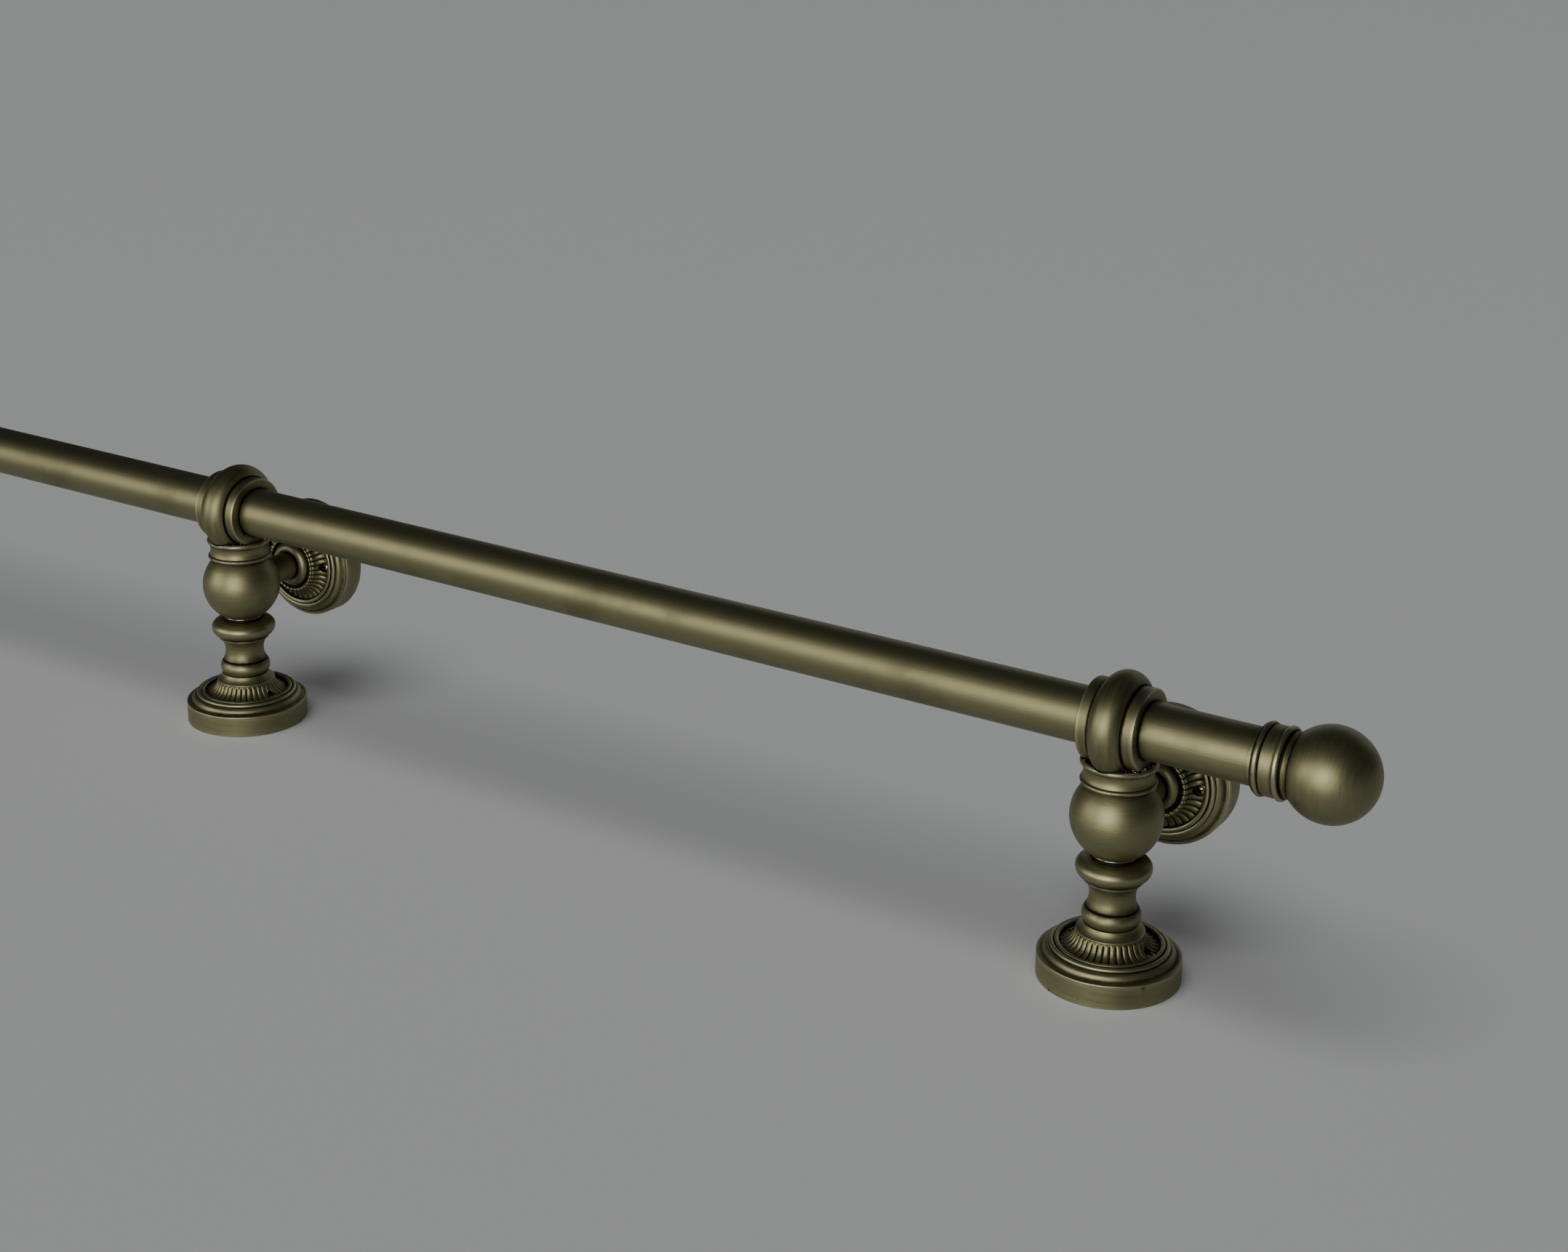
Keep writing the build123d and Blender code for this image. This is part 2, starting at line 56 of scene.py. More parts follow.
tube_radius, tube_wall, bracket_spacing, end_overhang = 25.4, 1.6, 1040.0, 128.5
rod_radius, rod_bore, slip, seat_gap = 5.0, 5.3, 0.12, 0.05
rim_height, bead_radius, bead_bulge, bead_height = 22.3, 26.3, 3.4, 15.0
trough_radius, trough_rise, trough_overhang = 13.7, 20.5, 0.7
skirt_step, skirt_width, skirt_lift, skirt_rise = 1.6, 6.0, 1.3, 8.0
boss_height, boss_web, socket_depth = 26.6, 4.6, 8.0
stem_height, knop_height, knop_land = 29.0, 20.9, 19.8
hub_radius, collar_seat, collar_floor, ring_lift = 41.0, 26.8, 4.6, 2.4
ring_collar, ring_bulge, ring_shoulder, ring_half = 36.4, 47.0, 15.2, 26.8
arm_radius, arm_exposed, arm_ball_depth = 15.0, 31.7, 8.2

bracket_places = {"left": -bracket_spacing, "middle": 0.0, "right": bracket_spacing}
tube_end = bracket_spacing + end_overhang
bead_side = bead_radius - bead_bulge
skirt_top_radius = bead_side + skirt_step
skirt_foot = skirt_top_radius + skirt_width
skirt_edge = trough_rise + skirt_lift
trough_inner = skirt_foot - trough_overhang
trough_centre = trough_inner + trough_radius
trough_floor = trough_rise - trough_radius
flange_top = rim_height + skirt_edge + skirt_rise + bead_height
stem_top = flange_top + stem_height
knop_top = stem_top + knop_height
hub_height = knop_top + math.sqrt(hub_radius ** 2 - knop_land ** 2)
collar_base = hub_height + math.sqrt(hub_radius ** 2 - collar_seat ** 2)
rail_height = collar_base + collar_floor + ring_lift + ring_bulge
ball_face = math.sqrt(hub_radius ** 2 - arm_radius ** 2)
arm_start = ball_face - arm_ball_depth
wall_distance = ball_face + arm_exposed + rim_height + boss_height
print("rail axis", round(rail_height, 2), "mm up, wall", round(wall_distance, 2), "mm behind it")

# %% [markdown]
# ## Outlines
# A turned piece is one outline spun about an axis. The outline is drawn as a turner would: lines, arcs
# through a point and arcs that leave or arrive in a given direction. Sharp corners are then softened by a
# fraction of a millimetre, which a bevel could do as well, but here it comes before the spin and costs
# three points.
# %% Outline drawing
ARC_STEP, ARC_TURN, ARC_LEAST = 1.2, math.radians(9), 4
SHARP_BEND, MOST_CUT, CORNER_POINTS = 0.2, 0.42, 3
LONG_LINE, LINE_MARGIN = 3.0, 0.5


def arc_points(centre, start, sweep):
    """Return points along a circle from a start point through a signed angle."""
    x, y = np.subtract(start, centre)
    count = max(ARC_LEAST, int(abs(sweep) * np.hypot(x, y) / ARC_STEP), int(abs(sweep) / ARC_TURN))
    angles = np.linspace(0, sweep, count + 1)
    cos, sin = np.cos(angles), np.sin(angles)
    return np.add(centre, np.stack([cos * x - sin * y, sin * x + cos * y], 1))


def tangent_arc(start, heading, end):
    """Return points along the arc that leaves a start point in a given direction."""
    chord = np.subtract(end, start)
    heading = np.array(heading, float) / np.hypot(*heading)
    side = np.array((-heading[1], heading[0]))
    reach = chord @ chord / (2 * (chord @ side))
    return arc_points(np.add(start, side * reach), start, 2 * math.atan2(chord @ side, chord @ heading))


def lengths(points):
    """Return the length of each step along a run of points."""
    return np.hypot(*np.diff(points, axis=0).T)


def trimmed(run, head, tail):
    """Return a run of points shortened at its two ends."""
    along = np.r_[0, np.cumsum(lengths(run))]
    inside = (along > head + 1e-6) & (along < along[-1] - tail - 1e-6)
    marks = np.r_[head, along[inside], along[-1] - tail]
    return np.stack([np.interp(marks, along, run[:, k]) for k in (0, 1)], 1)


def evened(run, longest):
    """Return a run with extra points on its long straight stretches, closer near the ends."""
    points = [run[0]]
    for a, b in zip(run[:-1], run[1:]):
        length = np.hypot(*(b - a))
        if length > LONG_LINE:
            near = LINE_MARGIN / length
            middle = np.linspace(near, 1 - near, max(2, int(length / longest) + 1))[1:-1]
            points.extend(a + t * (b - a) for t in np.r_[near, middle, 1 - near])
        points.append(b)
    return np.array(points)


class Outline:
    """A turner's outline in radius and height, drawn with the material on its left."""

    def __init__(self, radius, height):
        self.runs, self.last = [], np.array((radius, height), float)

    def put(self, points):
        """Add a run of points."""
        self.runs.append(np.asarray(points, float))
        self.last = self.runs[-1][-1]
        return self

    def line(self, radius, height):
        """Add a straight line."""
        return self.put([self.last, (radius, height)])

    def through(self, middle, end):
        """Add an arc through a middle point."""
        a, b, c = self.last, np.array(middle, float), np.array(end, float)
        centre = np.linalg.solve(2 * np.array([b - a, c - a]), [b @ b - a @ a, c @ c - a @ a])
        turn = [math.atan2(*(p - centre)[::-1]) for p in (a, b, c)]
        sweep, part = (turn[2] - turn[0]) % math.tau, (turn[1] - turn[0]) % math.tau
        return self.put(arc_points(centre, a, sweep if part < sweep else sweep - math.tau))

    def leaving(self, heading, end):
        """Add an arc that leaves in a given direction."""
        return self.put(tangent_arc(self.last, heading, end))

    def arriving(self, end, heading):
        """Add an arc that arrives in a given direction."""
        return self.put(tangent_arc(end, np.negative(heading), self.last)[::-1])

    def corner_cuts(self, radius, closed):
        """Return how much each run loses at its end when its corner is rounded off."""
        spans = [lengths(run).sum() for run in self.runs]
        cuts = []
        for i, run in enumerate(self.runs):
            after = self.runs[(i + 1) % len(self.runs)]
            inward, onward = run[-1] - run[-2], after[1] - after[0]
            bend = abs(math.atan2(inward[0] * onward[1] - inward[1] * onward[0], inward @ onward))
            room = MOST_CUT * min(spans[i], spans[(i + 1) % len(spans)])
            sharp = bend > SHARP_BEND and (closed or i + 1 < len(self.runs))
            cuts.append(min(radius * math.tan(bend / 2), room) if sharp else 0.0)
        return cuts

    def softened(self, radius, longest):
        """Return the outline's points with each sharp corner rounded off."""
        closed = np.hypot(*(self.runs[0][0] - self.runs[-1][-1])) < 1e-6
        cuts = self.corner_cuts(radius, closed)
        t = np.linspace(0, 1, CORNER_POINTS + 2)[1:-1, None]
        points = []
        for i, run in enumerate(self.runs):
            body = trimmed(run, cuts[i - 1] if closed or i else 0.0, cuts[i])
            points.extend(evened(body, longest))
            if cuts[i]:
                after = trimmed(self.runs[(i + 1) % len(self.runs)], cuts[i], 0.0)
                points.extend((1 - t) ** 2 * body[-1] + 2 * t * (1 - t) * run[-1] + t ** 2 * after[0])
        points = np.array(points + points[:1] if closed else points)
        return points[np.r_[True, lengths(points) > 1e-4]]


print("a quarter of the trough has", len(arc_points((0, 0), (trough_radius, 0), math.pi / 2)), "points")

# %% [markdown]
# ## Wires and trees
# Both the shapes and the finishes are node trees. A small class holds one output socket and overloads
# arithmetic, so that a sum in the script adds a Math node to the tree. Any other node comes from one
# method, which takes its type, its settings and its sockets. That keeps a tree as short to read as a
# formula.
# %% Node trees from expressions


def arithmetic(operation):
    """Return an operator and its reflected form, each of which adds one node."""
    def plain(self, other):
        return self.maths(operation, self, other)

    def reflected(self, other):
        return self.maths(operation, other, self)
    return plain, reflected


class Wire:
    """One output socket of a node tree."""

    def __init__(self, maker, socket):
        self.maker, self.socket = maker, socket

    def out(self, name):
        """Return another output of the same node."""
        return Wire(self.maker, self.maker.find(self.socket.node.outputs, name))

    def maths(self, operation, *terms):
        """Add a Math node, or a Vector Math node where a term is a vector."""
        vector = any(isinstance(t, Wire) and t.socket.type in ("VECTOR", "RGBA") for t in terms)
        kind = "ShaderNodeVectorMath" if vector else "ShaderNodeMath"
        return self.maker.add(kind, {"operation": operation}, dict(enumerate(terms)))

    __add__, __radd__ = arithmetic("ADD")
    __sub__, __rsub__ = arithmetic("SUBTRACT")
    __mul__, __rmul__ = arithmetic("MULTIPLY")
    __truediv__, __rtruediv__ = arithmetic("DIVIDE")
    __pow__, __rpow__ = arithmetic("POWER")

    def passed(self, operation, *others):
        """Return this wire passed through one more Math node."""
        return self.maths(operation, self, *others)

    def step(self, low, high):
        """Return 0 below low, 1 above high and a smooth rise between them."""
        sockets = {"Value": self, "From Min": low, "From Max": high}
        return self.maker.add("ShaderNodeMapRange", {"interpolation_type": "SMOOTHSTEP"}, sockets)

    def mix(self, first, second):
        """Blend two colours by this wire."""
        sockets = {"Factor": self, "A": first, "B": second}
        return self.maker.add("ShaderNodeMix", {"data_type": "RGBA"}, sockets)


class Maker:
    """Adds nodes to one tree."""

    def __init__(self, tree):
        self.tree = tree

    @staticmethod
    def find(sockets, name):
        """Return the socket in use that has a given name."""
        return next(s for s in sockets if s.enabled and name in (s.name, s.identifier))

    def add(self, kind, settings=None, sockets=None):
        """Add a node, make its settings, fill its sockets and return its first output."""
        node = self.tree.nodes.new(kind)
        for key, value in (settings or {}).items():
            setattr(node, key, value)
        for key, value in (sockets or {}).items():
            socket = node.inputs[key] if isinstance(key, int) else self.find(node.inputs, key)
            for one in value if isinstance(value, list) else [value]:
                self.fill(socket, one)
        return Wire(self, next((s for s in node.outputs if s.enabled), None))

    def fill(self, socket, value):
        """Link a wire to a socket, or set the socket to a value."""
        if isinstance(value, Wire):
            self.tree.links.new(value.socket, socket)
        elif socket.type in ("VECTOR", "RGBA", "ROTATION") and not hasattr(value, "__len__"):
            socket.default_value = (value,) * len(socket.default_value)
        else:
            socket.default_value = (*value, 1.0) if socket.type == "RGBA" else value

    def named(self, name, kind="FLOAT"):
        """Read an attribute of the shape."""
        return self.add("GeometryNodeInputNamedAttribute", {"data_type": kind}, {"Name": name})

    def store(self, shape, name, value, kind="FLOAT"):
        """Return a shape that carries one more attribute."""
        sockets = {"Geometry": shape, "Name": name, "Value": value}
        return self.add("GeometryNodeStoreNamedAttribute", {"data_type": kind}, sockets)

    def merged(self, shape, distance):
        """Return a shape whose close points are merged."""
        return self.add("GeometryNodeMergeByDistance", {}, {"Geometry": shape, "Distance": distance})


print("operators of a wire:", sorted(key for key in vars(Wire) if key.startswith("__r")))

# %% [markdown]
# ## Running a tree
# A tree runs as a modifier on a helper object. Its result is taken off as a plain mesh, because that is
# what the export reads, and the helper goes. Cuts can leave points that only split an edge in two. Those
# are taken out, because they would make slivers once the faces are split into triangles.
# %% Tree helpers
SHARP_EDGE = math.radians(38)


def new_object(name, data):
    """Put a new object in the scene."""
    thing = bpy.data.objects.new(name, data)
    bpy.context.scene.collection.objects.link(thing)
    return thing


def shape_tree(name, inputs):
    """Start a geometry tree with named inputs and return its maker and its input wire."""
    tree = bpy.data.node_groups.new(name, "GeometryNodeTree")
    for label, kind in [("Geometry", "Geometry"), *inputs]:
        tree.interface.new_socket(label, in_out="INPUT", socket_type="NodeSocket" + kind)
    tree.interface.new_socket("Geometry", in_out="OUTPUT", socket_type="NodeSocketGeometry")
    maker = Maker(tree)
    return maker, maker.add("NodeGroupInput")


def close_tree(maker, shape, finish):
    """End a tree: real geometry, smooth faces and a finish."""
    shape = maker.add("GeometryNodeRealizeInstances", {}, {"Geometry": shape})
    shape = maker.add("GeometryNodeSetShadeSmooth", {}, {"Geometry": shape})
    shape = maker.add("GeometryNodeSetMaterial", {}, {"Geometry": shape, "Material": finish})
    maker.add("NodeGroupOutput", {}, {"Geometry": shape})
    return maker.tree


def run_tree(name, start, tree, **inputs):
    """Run a tree on a start mesh and return the result as a plain mesh with outward faces."""
    helper = new_object(name, start)
    modifier = helper.modifiers.new("tree", "NODES")
    modifier.node_group = tree
    for item in tree.interface.items_tree:
        key = item.name.lower().replace(" ", "_")
        if item.in_out == "INPUT" and key in inputs:
            modifier[item.identifier] = inputs[key]
    mesh = bpy.data.meshes.new_from_object(helper.evaluated_get(bpy.context.evaluated_depsgraph_get()))
    bpy.data.objects.remove(helper)
    mesh.name = name
    body = bmesh.new()
    body.from_mesh(mesh)
    for vert in [v for v in body.verts if len(v.link_edges) == 2]:
        bmesh.utils.vert_collapse_edge(vert, vert.link_edges[0])
    if body.calc_volume(signed=True) < 0:
        bmesh.ops.reverse_faces(body, faces=body.faces)
    body.to_mesh(mesh)
    body.free()
    mesh.set_sharp_from_angle(angle=SHARP_EDGE)
    return mesh


print("edges stay sharp from", round(math.degrees(SHARP_EDGE)), "degrees")

# %% [markdown]
# ## The turning tree
# Geometry Nodes could turn an outline with Curve to Mesh, but then the outline's own data would be lost.
# Here a grid gets one row for each outline point and one column for each step round. Each vertex looks up
# its outline point and is carried round the axis. The lookup also brings along how tarnished and how worn
# that point is, painted shade included, and a vector that runs with the turner's brush. Reeds are a lift of
# the surface that repeats round the axis, so the same tree makes them, and the gaps between them are
# darkened, partly as tarnished brass and partly as painted shade. A screw thread is a single reed with a
# twist, which climbs as it goes round.
# %% Turning tree
SEAM_DISTANCE = 1e-6
REED_SHOWS, REED_FOOT = (0.2 * MM, 0.8 * MM), (0.1, 0.6)

maker, given = shape_tree("turned piece", [
    ("Steps Round", "Int"), ("Reeds", "Int"), ("Reed Fill", "Float"), ("Twist", "Float"),
    ("Turn", "Rotation"), ("Place", "Vector"), ("Finish", "Material"),
])
outline_in = given.out("Geometry")
columns = given.out("Steps Round") + 1
rows = maker.add("GeometryNodeAttributeDomainSize", {}, {"Geometry": outline_in})
grid = maker.add("GeometryNodeMeshGrid", {}, {"Vertices X": rows, "Vertices Y": columns})
index = maker.add("GeometryNodeInputIndex")
row = (index / columns).passed("FLOOR")
angle = (index - row * columns) * (math.tau / given.out("Steps Round"))


def looked_up(kind, source):
    """Return the outline's own value at this vertex's row."""
    sockets = {"Geometry": outline_in, "Value": source, "Index": row}
    return maker.add("GeometryNodeSampleIndex", {"data_type": kind}, sockets)


def carried(name, kind="FLOAT"):
    """Return what the outline carries under a name."""
    return looked_up(kind, maker.named(name, kind))


spot = looked_up("FLOAT_VECTOR", maker.add("GeometryNodeInputPosition"))
share = angle / (math.tau / given.out("Reeds")) - carried("run") * given.out("Twist")
across = (share - share.passed("ROUND")) / given.out("Reed Fill")
crown = (1 - across * across).passed("MAXIMUM", 0.0).passed("SQRT")
lifted = spot + carried("outward", "FLOAT_VECTOR") * (carried("reed") * crown)
turned = maker.add("ShaderNodeVectorRotate", {"rotation_type": "Z_AXIS"}, {"Vector": lifted, "Angle": angle})
shape = maker.add("GeometryNodeSetPosition", {}, {"Geometry": grid, "Position": turned})
# Gaps between reeds are darkened in the colour: partly tarnished brass, partly painted shade where the reeds
# shade each other.
groove = carried("reed").step(*REED_SHOWS) * (1 - crown.step(*REED_FOOT))
brush = maker.add("ShaderNodeCombineXYZ", {}, {
    "X": angle.passed("COSINE"), "Y": angle.passed("SINE"), "Z": carried("run")})
shape = maker.store(shape, "tarnish", carried("tarnish") + groove)
shape = maker.store(shape, "wear", carried("wear"))
shape = maker.store(shape, "cast", carried("cast"))
shape = maker.store(shape, "brush", brush, "FLOAT_VECTOR")
placing = {
    "Geometry": maker.merged(shape, SEAM_DISTANCE), "Translation": given.out("Place"),
    "Rotation": given.out("Turn"),
}
turning_tree = close_tree(maker, maker.add("GeometryNodeTransform", {}, placing), given.out("Finish"))
print("turning tree has", len(turning_tree.nodes), "nodes")

# %% [markdown]
# ## Antique brass
# The finish on the real rail is brass that was darkened all over and then burnished: olive gold where the
# polishing wheel reached, brown-black in the hollows, warmer brown where the two meet. The brown-black is
# partly the oxide of the hollows and partly painted shade: hollows, holes and a band round each joint are
# darkened in the colour where shade falls. One colour would look like plastic, so the colour, the gloss
# and the fine relief all follow the darkening and wear that the outlines carry, broken up by noise. The
# brush marks run with the lathe: the noise is stretched along the brush vector of each piece. A few marks
# sit where the years left them: a chip and a spot of rust on the rim of one foot.
# %% Brass finishes
OLIVE_GOLD = (0.235, 0.224, 0.121)
PALE_GOLD = (0.365, 0.352, 0.222)
BROWN_BLACK = (0.018, 0.0165, 0.010)
WARM_BROWN = (0.185, 0.137, 0.060)
RUST = (0.105, 0.042, 0.016)
CLOUD_SCALE, MOTTLE_SCALE, PIT_SCALE, GRAIN_SCALE = 17.0, 95.0, 105.0, 420.0
PITTED_SHARE, PIT_SIZE = (0.86, 0.88), (0.03, 0.075)
RELIEF = {"Strength": 0.3, "Distance": 0.4 * MM}


def metal_maker(name):
    """Start an empty material and return it with its maker and its place in the object."""
    material = bpy.data.materials.new(name)
    material.use_nodes = True
    material.node_tree.nodes.clear()
    m = Maker(material.node_tree)
    return material, m, m.add("ShaderNodeTexCoord").out("Object")


def close_metal(m, tone, gloss, relief, bump):
    """End a material: a bare metal with its colour, its roughness and its relief."""
    normal = m.add("ShaderNodeBump", {}, {**bump, "Height": relief})
    sockets = {"Base Color": tone, "Metallic": 1.0, "Roughness": gloss, "Normal": normal}
    m.add("ShaderNodeOutputMaterial", {}, {"Surface": m.add("ShaderNodeBsdfPrincipled", {}, sockets)})


def brass_finish(name, around, along, rough=0.46, shade=1.0, streaky=0.4, marks=()):
    """Return a burnished brass whose brush marks are stretched by two scales, with marks at given places."""
    material, m, place = metal_maker(name)

    def noise(vector, scale, detail, roughness=0.55):
        sockets = {"Vector": vector, "Scale": scale, "Detail": detail, "Roughness": roughness}
        return m.add("ShaderNodeTexNoise", {}, sockets).out("Fac")

    brush = m.add("ShaderNodeAttribute", {"attribute_name": "brush"}).out("Vector")
    tarnish, wear, cast = (
        m.add("ShaderNodeAttribute", {"attribute_name": label}).out("Fac")
        for label in ("tarnish", "wear", "cast"))
    clouds = noise(place, CLOUD_SCALE, 4.0)
    mottle = noise(place, MOTTLE_SCALE, 3.0)
    streaks = noise(brush * (around, around, along), 1.0, 4.0, 0.6)
    hairs = noise(brush * (around * 2.2, around * 2.2, along * 4.5), 1.0, 2.0)
    cells = m.add("ShaderNodeTexVoronoi", {"feature": "F1"}, {"Vector": place, "Scale": PIT_SCALE})
    lot = m.add("ShaderNodeSeparateColor", {}, {"Color": cells.out("Color")}).out("Red")
    pits = lot.step(*PITTED_SHARE) * (1 - cells.out("Distance").step(*PIT_SIZE))

    # Tarnished hollows and joints mixed with painted shade: where shade falls the colour goes brown-black.
    grime_and_shade = (tarnish * (0.55 + 0.9 * mottle)).step(0.05, 0.7)
    bloom = clouds.step(0.4, 0.75) * 0.36
    patina_and_shade = (grime_and_shade + bloom * (1 - wear) + pits * 0.7 + cast * 0.45).step(0.0, 1.05)
    polish = (wear * (0.5 + streaks)).step(0.08, 0.75)
    warmth = (grime_and_shade * (1 - grime_and_shade) * 2.2 + clouds.step(0.5, 0.75) * 0.35) * mottle.step(0.3, 0.7)

    tone = polish.mix(tuple(c * shade for c in OLIVE_GOLD), PALE_GOLD)
    tone = (0.8 * warmth).step(0.0, 1.0).mix(tone, WARM_BROWN)
    tone = patina_and_shade.mix(tone, BROWN_BLACK)
    tone = tone * (1 - 0.5 * streaky + streaky * streaks)
    for spot, size, stain in marks:
        away = place.passed("DISTANCE", spot) * (1.4 - 0.8 * mottle)
        tone = (0.8 - 0.8 * away.step(0.2 * size, size)).mix(tone, stain)

    gloss = rough + 0.17 * patina_and_shade + 0.14 * (streaks - 0.5) + 0.06 * (mottle - 0.5)
    gloss = gloss - 0.05 * polish + 0.2 * cast
    grain = cast * noise(place, GRAIN_SCALE, 3.0)
    relief = streaks * 0.5 + hairs * 0.35 + mottle * 0.22 - pits * 3.0 + grain * 5.0
    close_metal(m, tone, gloss, relief, RELIEF)
    return material


rim_marks = [
    ((1.0107, -0.0569, 0.0010), 0.0026, BROWN_BLACK),
    ((1.0909, -0.0387, 0.0190), 0.0030, RUST),
    ((1.0420, -0.0640, 0.0050), 0.0016, WARM_BROWN),
]
turned_brass = brass_finish("turned antique brass", 1.6, 620.0)
ring_brass = brass_finish("turned ring brass", 1.2, 260.0, rough=0.47, shade=0.84, streaky=0.7)
cast_brass = brass_finish("cast antique brass", 2.6, 420.0, rough=0.47, marks=rim_marks)
drawn_brass = brass_finish("drawn antique brass", 46.0, 5.0)
screw_brass = brass_finish("polished screw brass", 2.0, 900.0, rough=0.29, shade=1.4)
print("brass finishes:", [m.name for m in bpy.data.materials if "brass" in m.name])

# %% [markdown]
# ## From an outline to a piece
# The outline becomes a row of vertices that carry their own data: how far along the outline they lie,
# which way is out, how recessed or exposed they are, and how high a reed stands there. A point that lies
# inside the smoothed outline is a recess, darkened partly as tarnished brass and partly as painted shade,
# and one that stands outside it is an edge that hands and feet keep bright. Where two pieces meet and in
# grooves the colour is darkened too, a dark line with a wider band of painted shade round each joint, and
# those places are listed.
# %% Turning a piece
UPRIGHT = (0.0, 0.0, 0.0)
ALONG_RAIL = (0.0, math.pi / 2, 0.0)
ALONG_RAIL_BACK = (0.0, -math.pi / 2, 0.0)
TO_WALL = (-math.pi / 2, 0.0, 0.0)
RECESS_REACH, RECESS_DEPTH, EDGE_HEIGHT = 2.2, 1.1, 0.9
# The halo is painted shade: a wide, faint darkening round each joint, where shade falls.
CONTACT_REACH, SHADE_HALO_REACH, SHADE_HALO_DARKNESS = 1.3, 7.0, 0.38
NO_REEDS = (0, 1.0, 0.0)


def tarnish_shade_and_wear(points, run, outward, contacts, grooves):
    """Return how tarnished and how worn each outline point is, from 0 to 1, with painted shade in recesses
    and round joints.
    """
    # Recesses are darkened by their depth: partly tarnished brass, partly painted shade.
    near = np.exp(-(((run[:, None] - run[None]) / RECESS_REACH) ** 2) / 2) * np.gradient(run)[None]
    depth = (((near @ points) / near.sum(1)[:, None] - points) * outward).sum(1)
    tarnish = np.clip(depth / RECESS_DEPTH, 0, 1)
    stains_and_shade = [(spot, CONTACT_REACH, 1.0) for spot in (*contacts, *grooves)]
    # Round each contact a wide band of painted shade is added to the dark line in the joint.
    stains_and_shade += [(spot, SHADE_HALO_REACH, SHADE_HALO_DARKNESS) for spot in contacts]
    for spot, reach, most in stains_and_shade:
        tarnish = np.maximum(tarnish, most * np.exp(-((np.hypot(*(points - spot).T) / reach) ** 2)))
    return tarnish, np.clip(-depth / EDGE_HEIGHT, 0, 1)


def outline_mesh(name, outline, soft=0.35, contacts=(), grooves=(), longest=2.4, reed=None, raw=None):
    """Return a row of vertices along the softened outline with the data that the turning tree reads."""
    points = outline.softened(soft, longest)
    run = np.r_[0, np.cumsum(lengths(points))]
    heading = np.gradient(points, run, axis=0)
    heading /= np.maximum(np.hypot(*heading.T), 1e-9)[:, None]
    outward = np.stack([heading[:, 1], -heading[:, 0]], 1)
    tarnish, wear = tarnish_shade_and_wear(points, run, outward, contacts, grooves)
    none = np.zeros(len(run))
    data = {
        "run": run * MM, "tarnish": tarnish, "wear": wear,
        "reed": reed(points) * MM if reed else none, "cast": raw(points) if raw else none,
    }
    mesh = bpy.data.meshes.new(name)
    mesh.from_pydata([(r * MM, 0, h * MM) for r, h in points], [], [])
    for key, values in data.items():
        mesh.attributes.new(key, "FLOAT", "POINT").data.foreach_set("value", values.astype(np.float32))
    flat = np.stack([outward[:, 0], none, outward[:, 1]], 1).astype(np.float32)
    mesh.attributes.new("outward", "FLOAT_VECTOR", "POINT").data.foreach_set("vector", flat.ravel())
    return mesh


def turned_mesh(name, outline, finish, turn=UPRIGHT, place=(0, 0, 0), steps=144, reeds=NO_REEDS, **more):
    """Return a turned piece as a plain mesh, with reeds given by their number, fill and twist."""
    count, fill, twist = reeds
    return run_tree(name, outline_mesh(name, outline, **more), turning_tree, steps_round=steps, reeds=count,
                    reed_fill=fill, twist=twist, turn=turn, place=[x * MM for x in place], finish=finish)


print("grime reaches", RECESS_REACH, "mm along an outline and", SHADE_HALO_REACH, "mm from a joint")

# %% [markdown]
# ## Drilling and coping
# A founder drills the screw holes after casting, and a fitter files the collar to the ring. Both are
# boolean cuts. A second tree does them, and copies the finish data over from the uncut piece. Wherever
# the new surface lies deeper than the old one it is a fresh hole, and its colour is darkened by its depth:
# dirt that gathers there and painted shade inside the hole. Points that lie closer than a few micrometres
# after a cut are merged.
# %% Cutting tree
HOLE_DEPTH, SLIVER_DISTANCE = (0.05 * MM, 0.6 * MM), 4e-6


def cutting_tree(operation):
    """Return a tree that cuts or joins a piece with another object."""
    maker, given = shape_tree("cut " + operation.lower(), [("Other", "Object"), ("Finish", "Material")])
    before = given.out("Geometry")
    other = maker.add("GeometryNodeObjectInfo", {}, {"Object": given.out("Other")}).out("Geometry")
    cutting = operation == "DIFFERENCE"
    sockets = {"Mesh 1": before, "Mesh 2": other} if cutting else {"Mesh 2": [before, other]}
    shape = maker.add("GeometryNodeMeshBoolean", {"operation": operation, "solver": "MANIFOLD"}, sockets)
    shape = maker.merged(shape, SLIVER_DISTANCE)
    # Colour darkened by depth below the uncut surface: painted shade inside holes and recesses, with some
    # dirt.
    hole_grime_and_shade = maker.add("GeometryNodeProximity", {}, {"Target": before}).out("Distance").step(*HOLE_DEPTH)
    kinds = {"tarnish": "FLOAT", "wear": "FLOAT", "cast": "FLOAT", "brush": "FLOAT_VECTOR"}
    for label, kind in kinds.items():
        sockets = {"Mesh": before, "Value": maker.named(label, kind)}
        value = maker.add("GeometryNodeSampleNearestSurface", {"data_type": kind}, sockets)
        value = value + hole_grime_and_shade if label == "tarnish" and cutting else value
        shape = maker.store(shape, label, value, kind)
    return close_tree(maker, shape, given.out("Finish"))


cut_away, join_on = cutting_tree("DIFFERENCE"), cutting_tree("UNION")


def cut(mesh, other, tree, finish):
    """Run a cutting tree with another mesh."""
    tool = new_object("tool", other)
    result = run_tree(mesh.name, mesh, tree, other=tool, finish=finish)
    bpy.data.objects.remove(tool)
    return result


def moved(mesh, offset):
    """Return a copy of a mesh, shifted in millimetres."""
    copy = mesh.copy()
    copy.transform(Matrix.Translation(Vector(offset) * MM))
    return copy


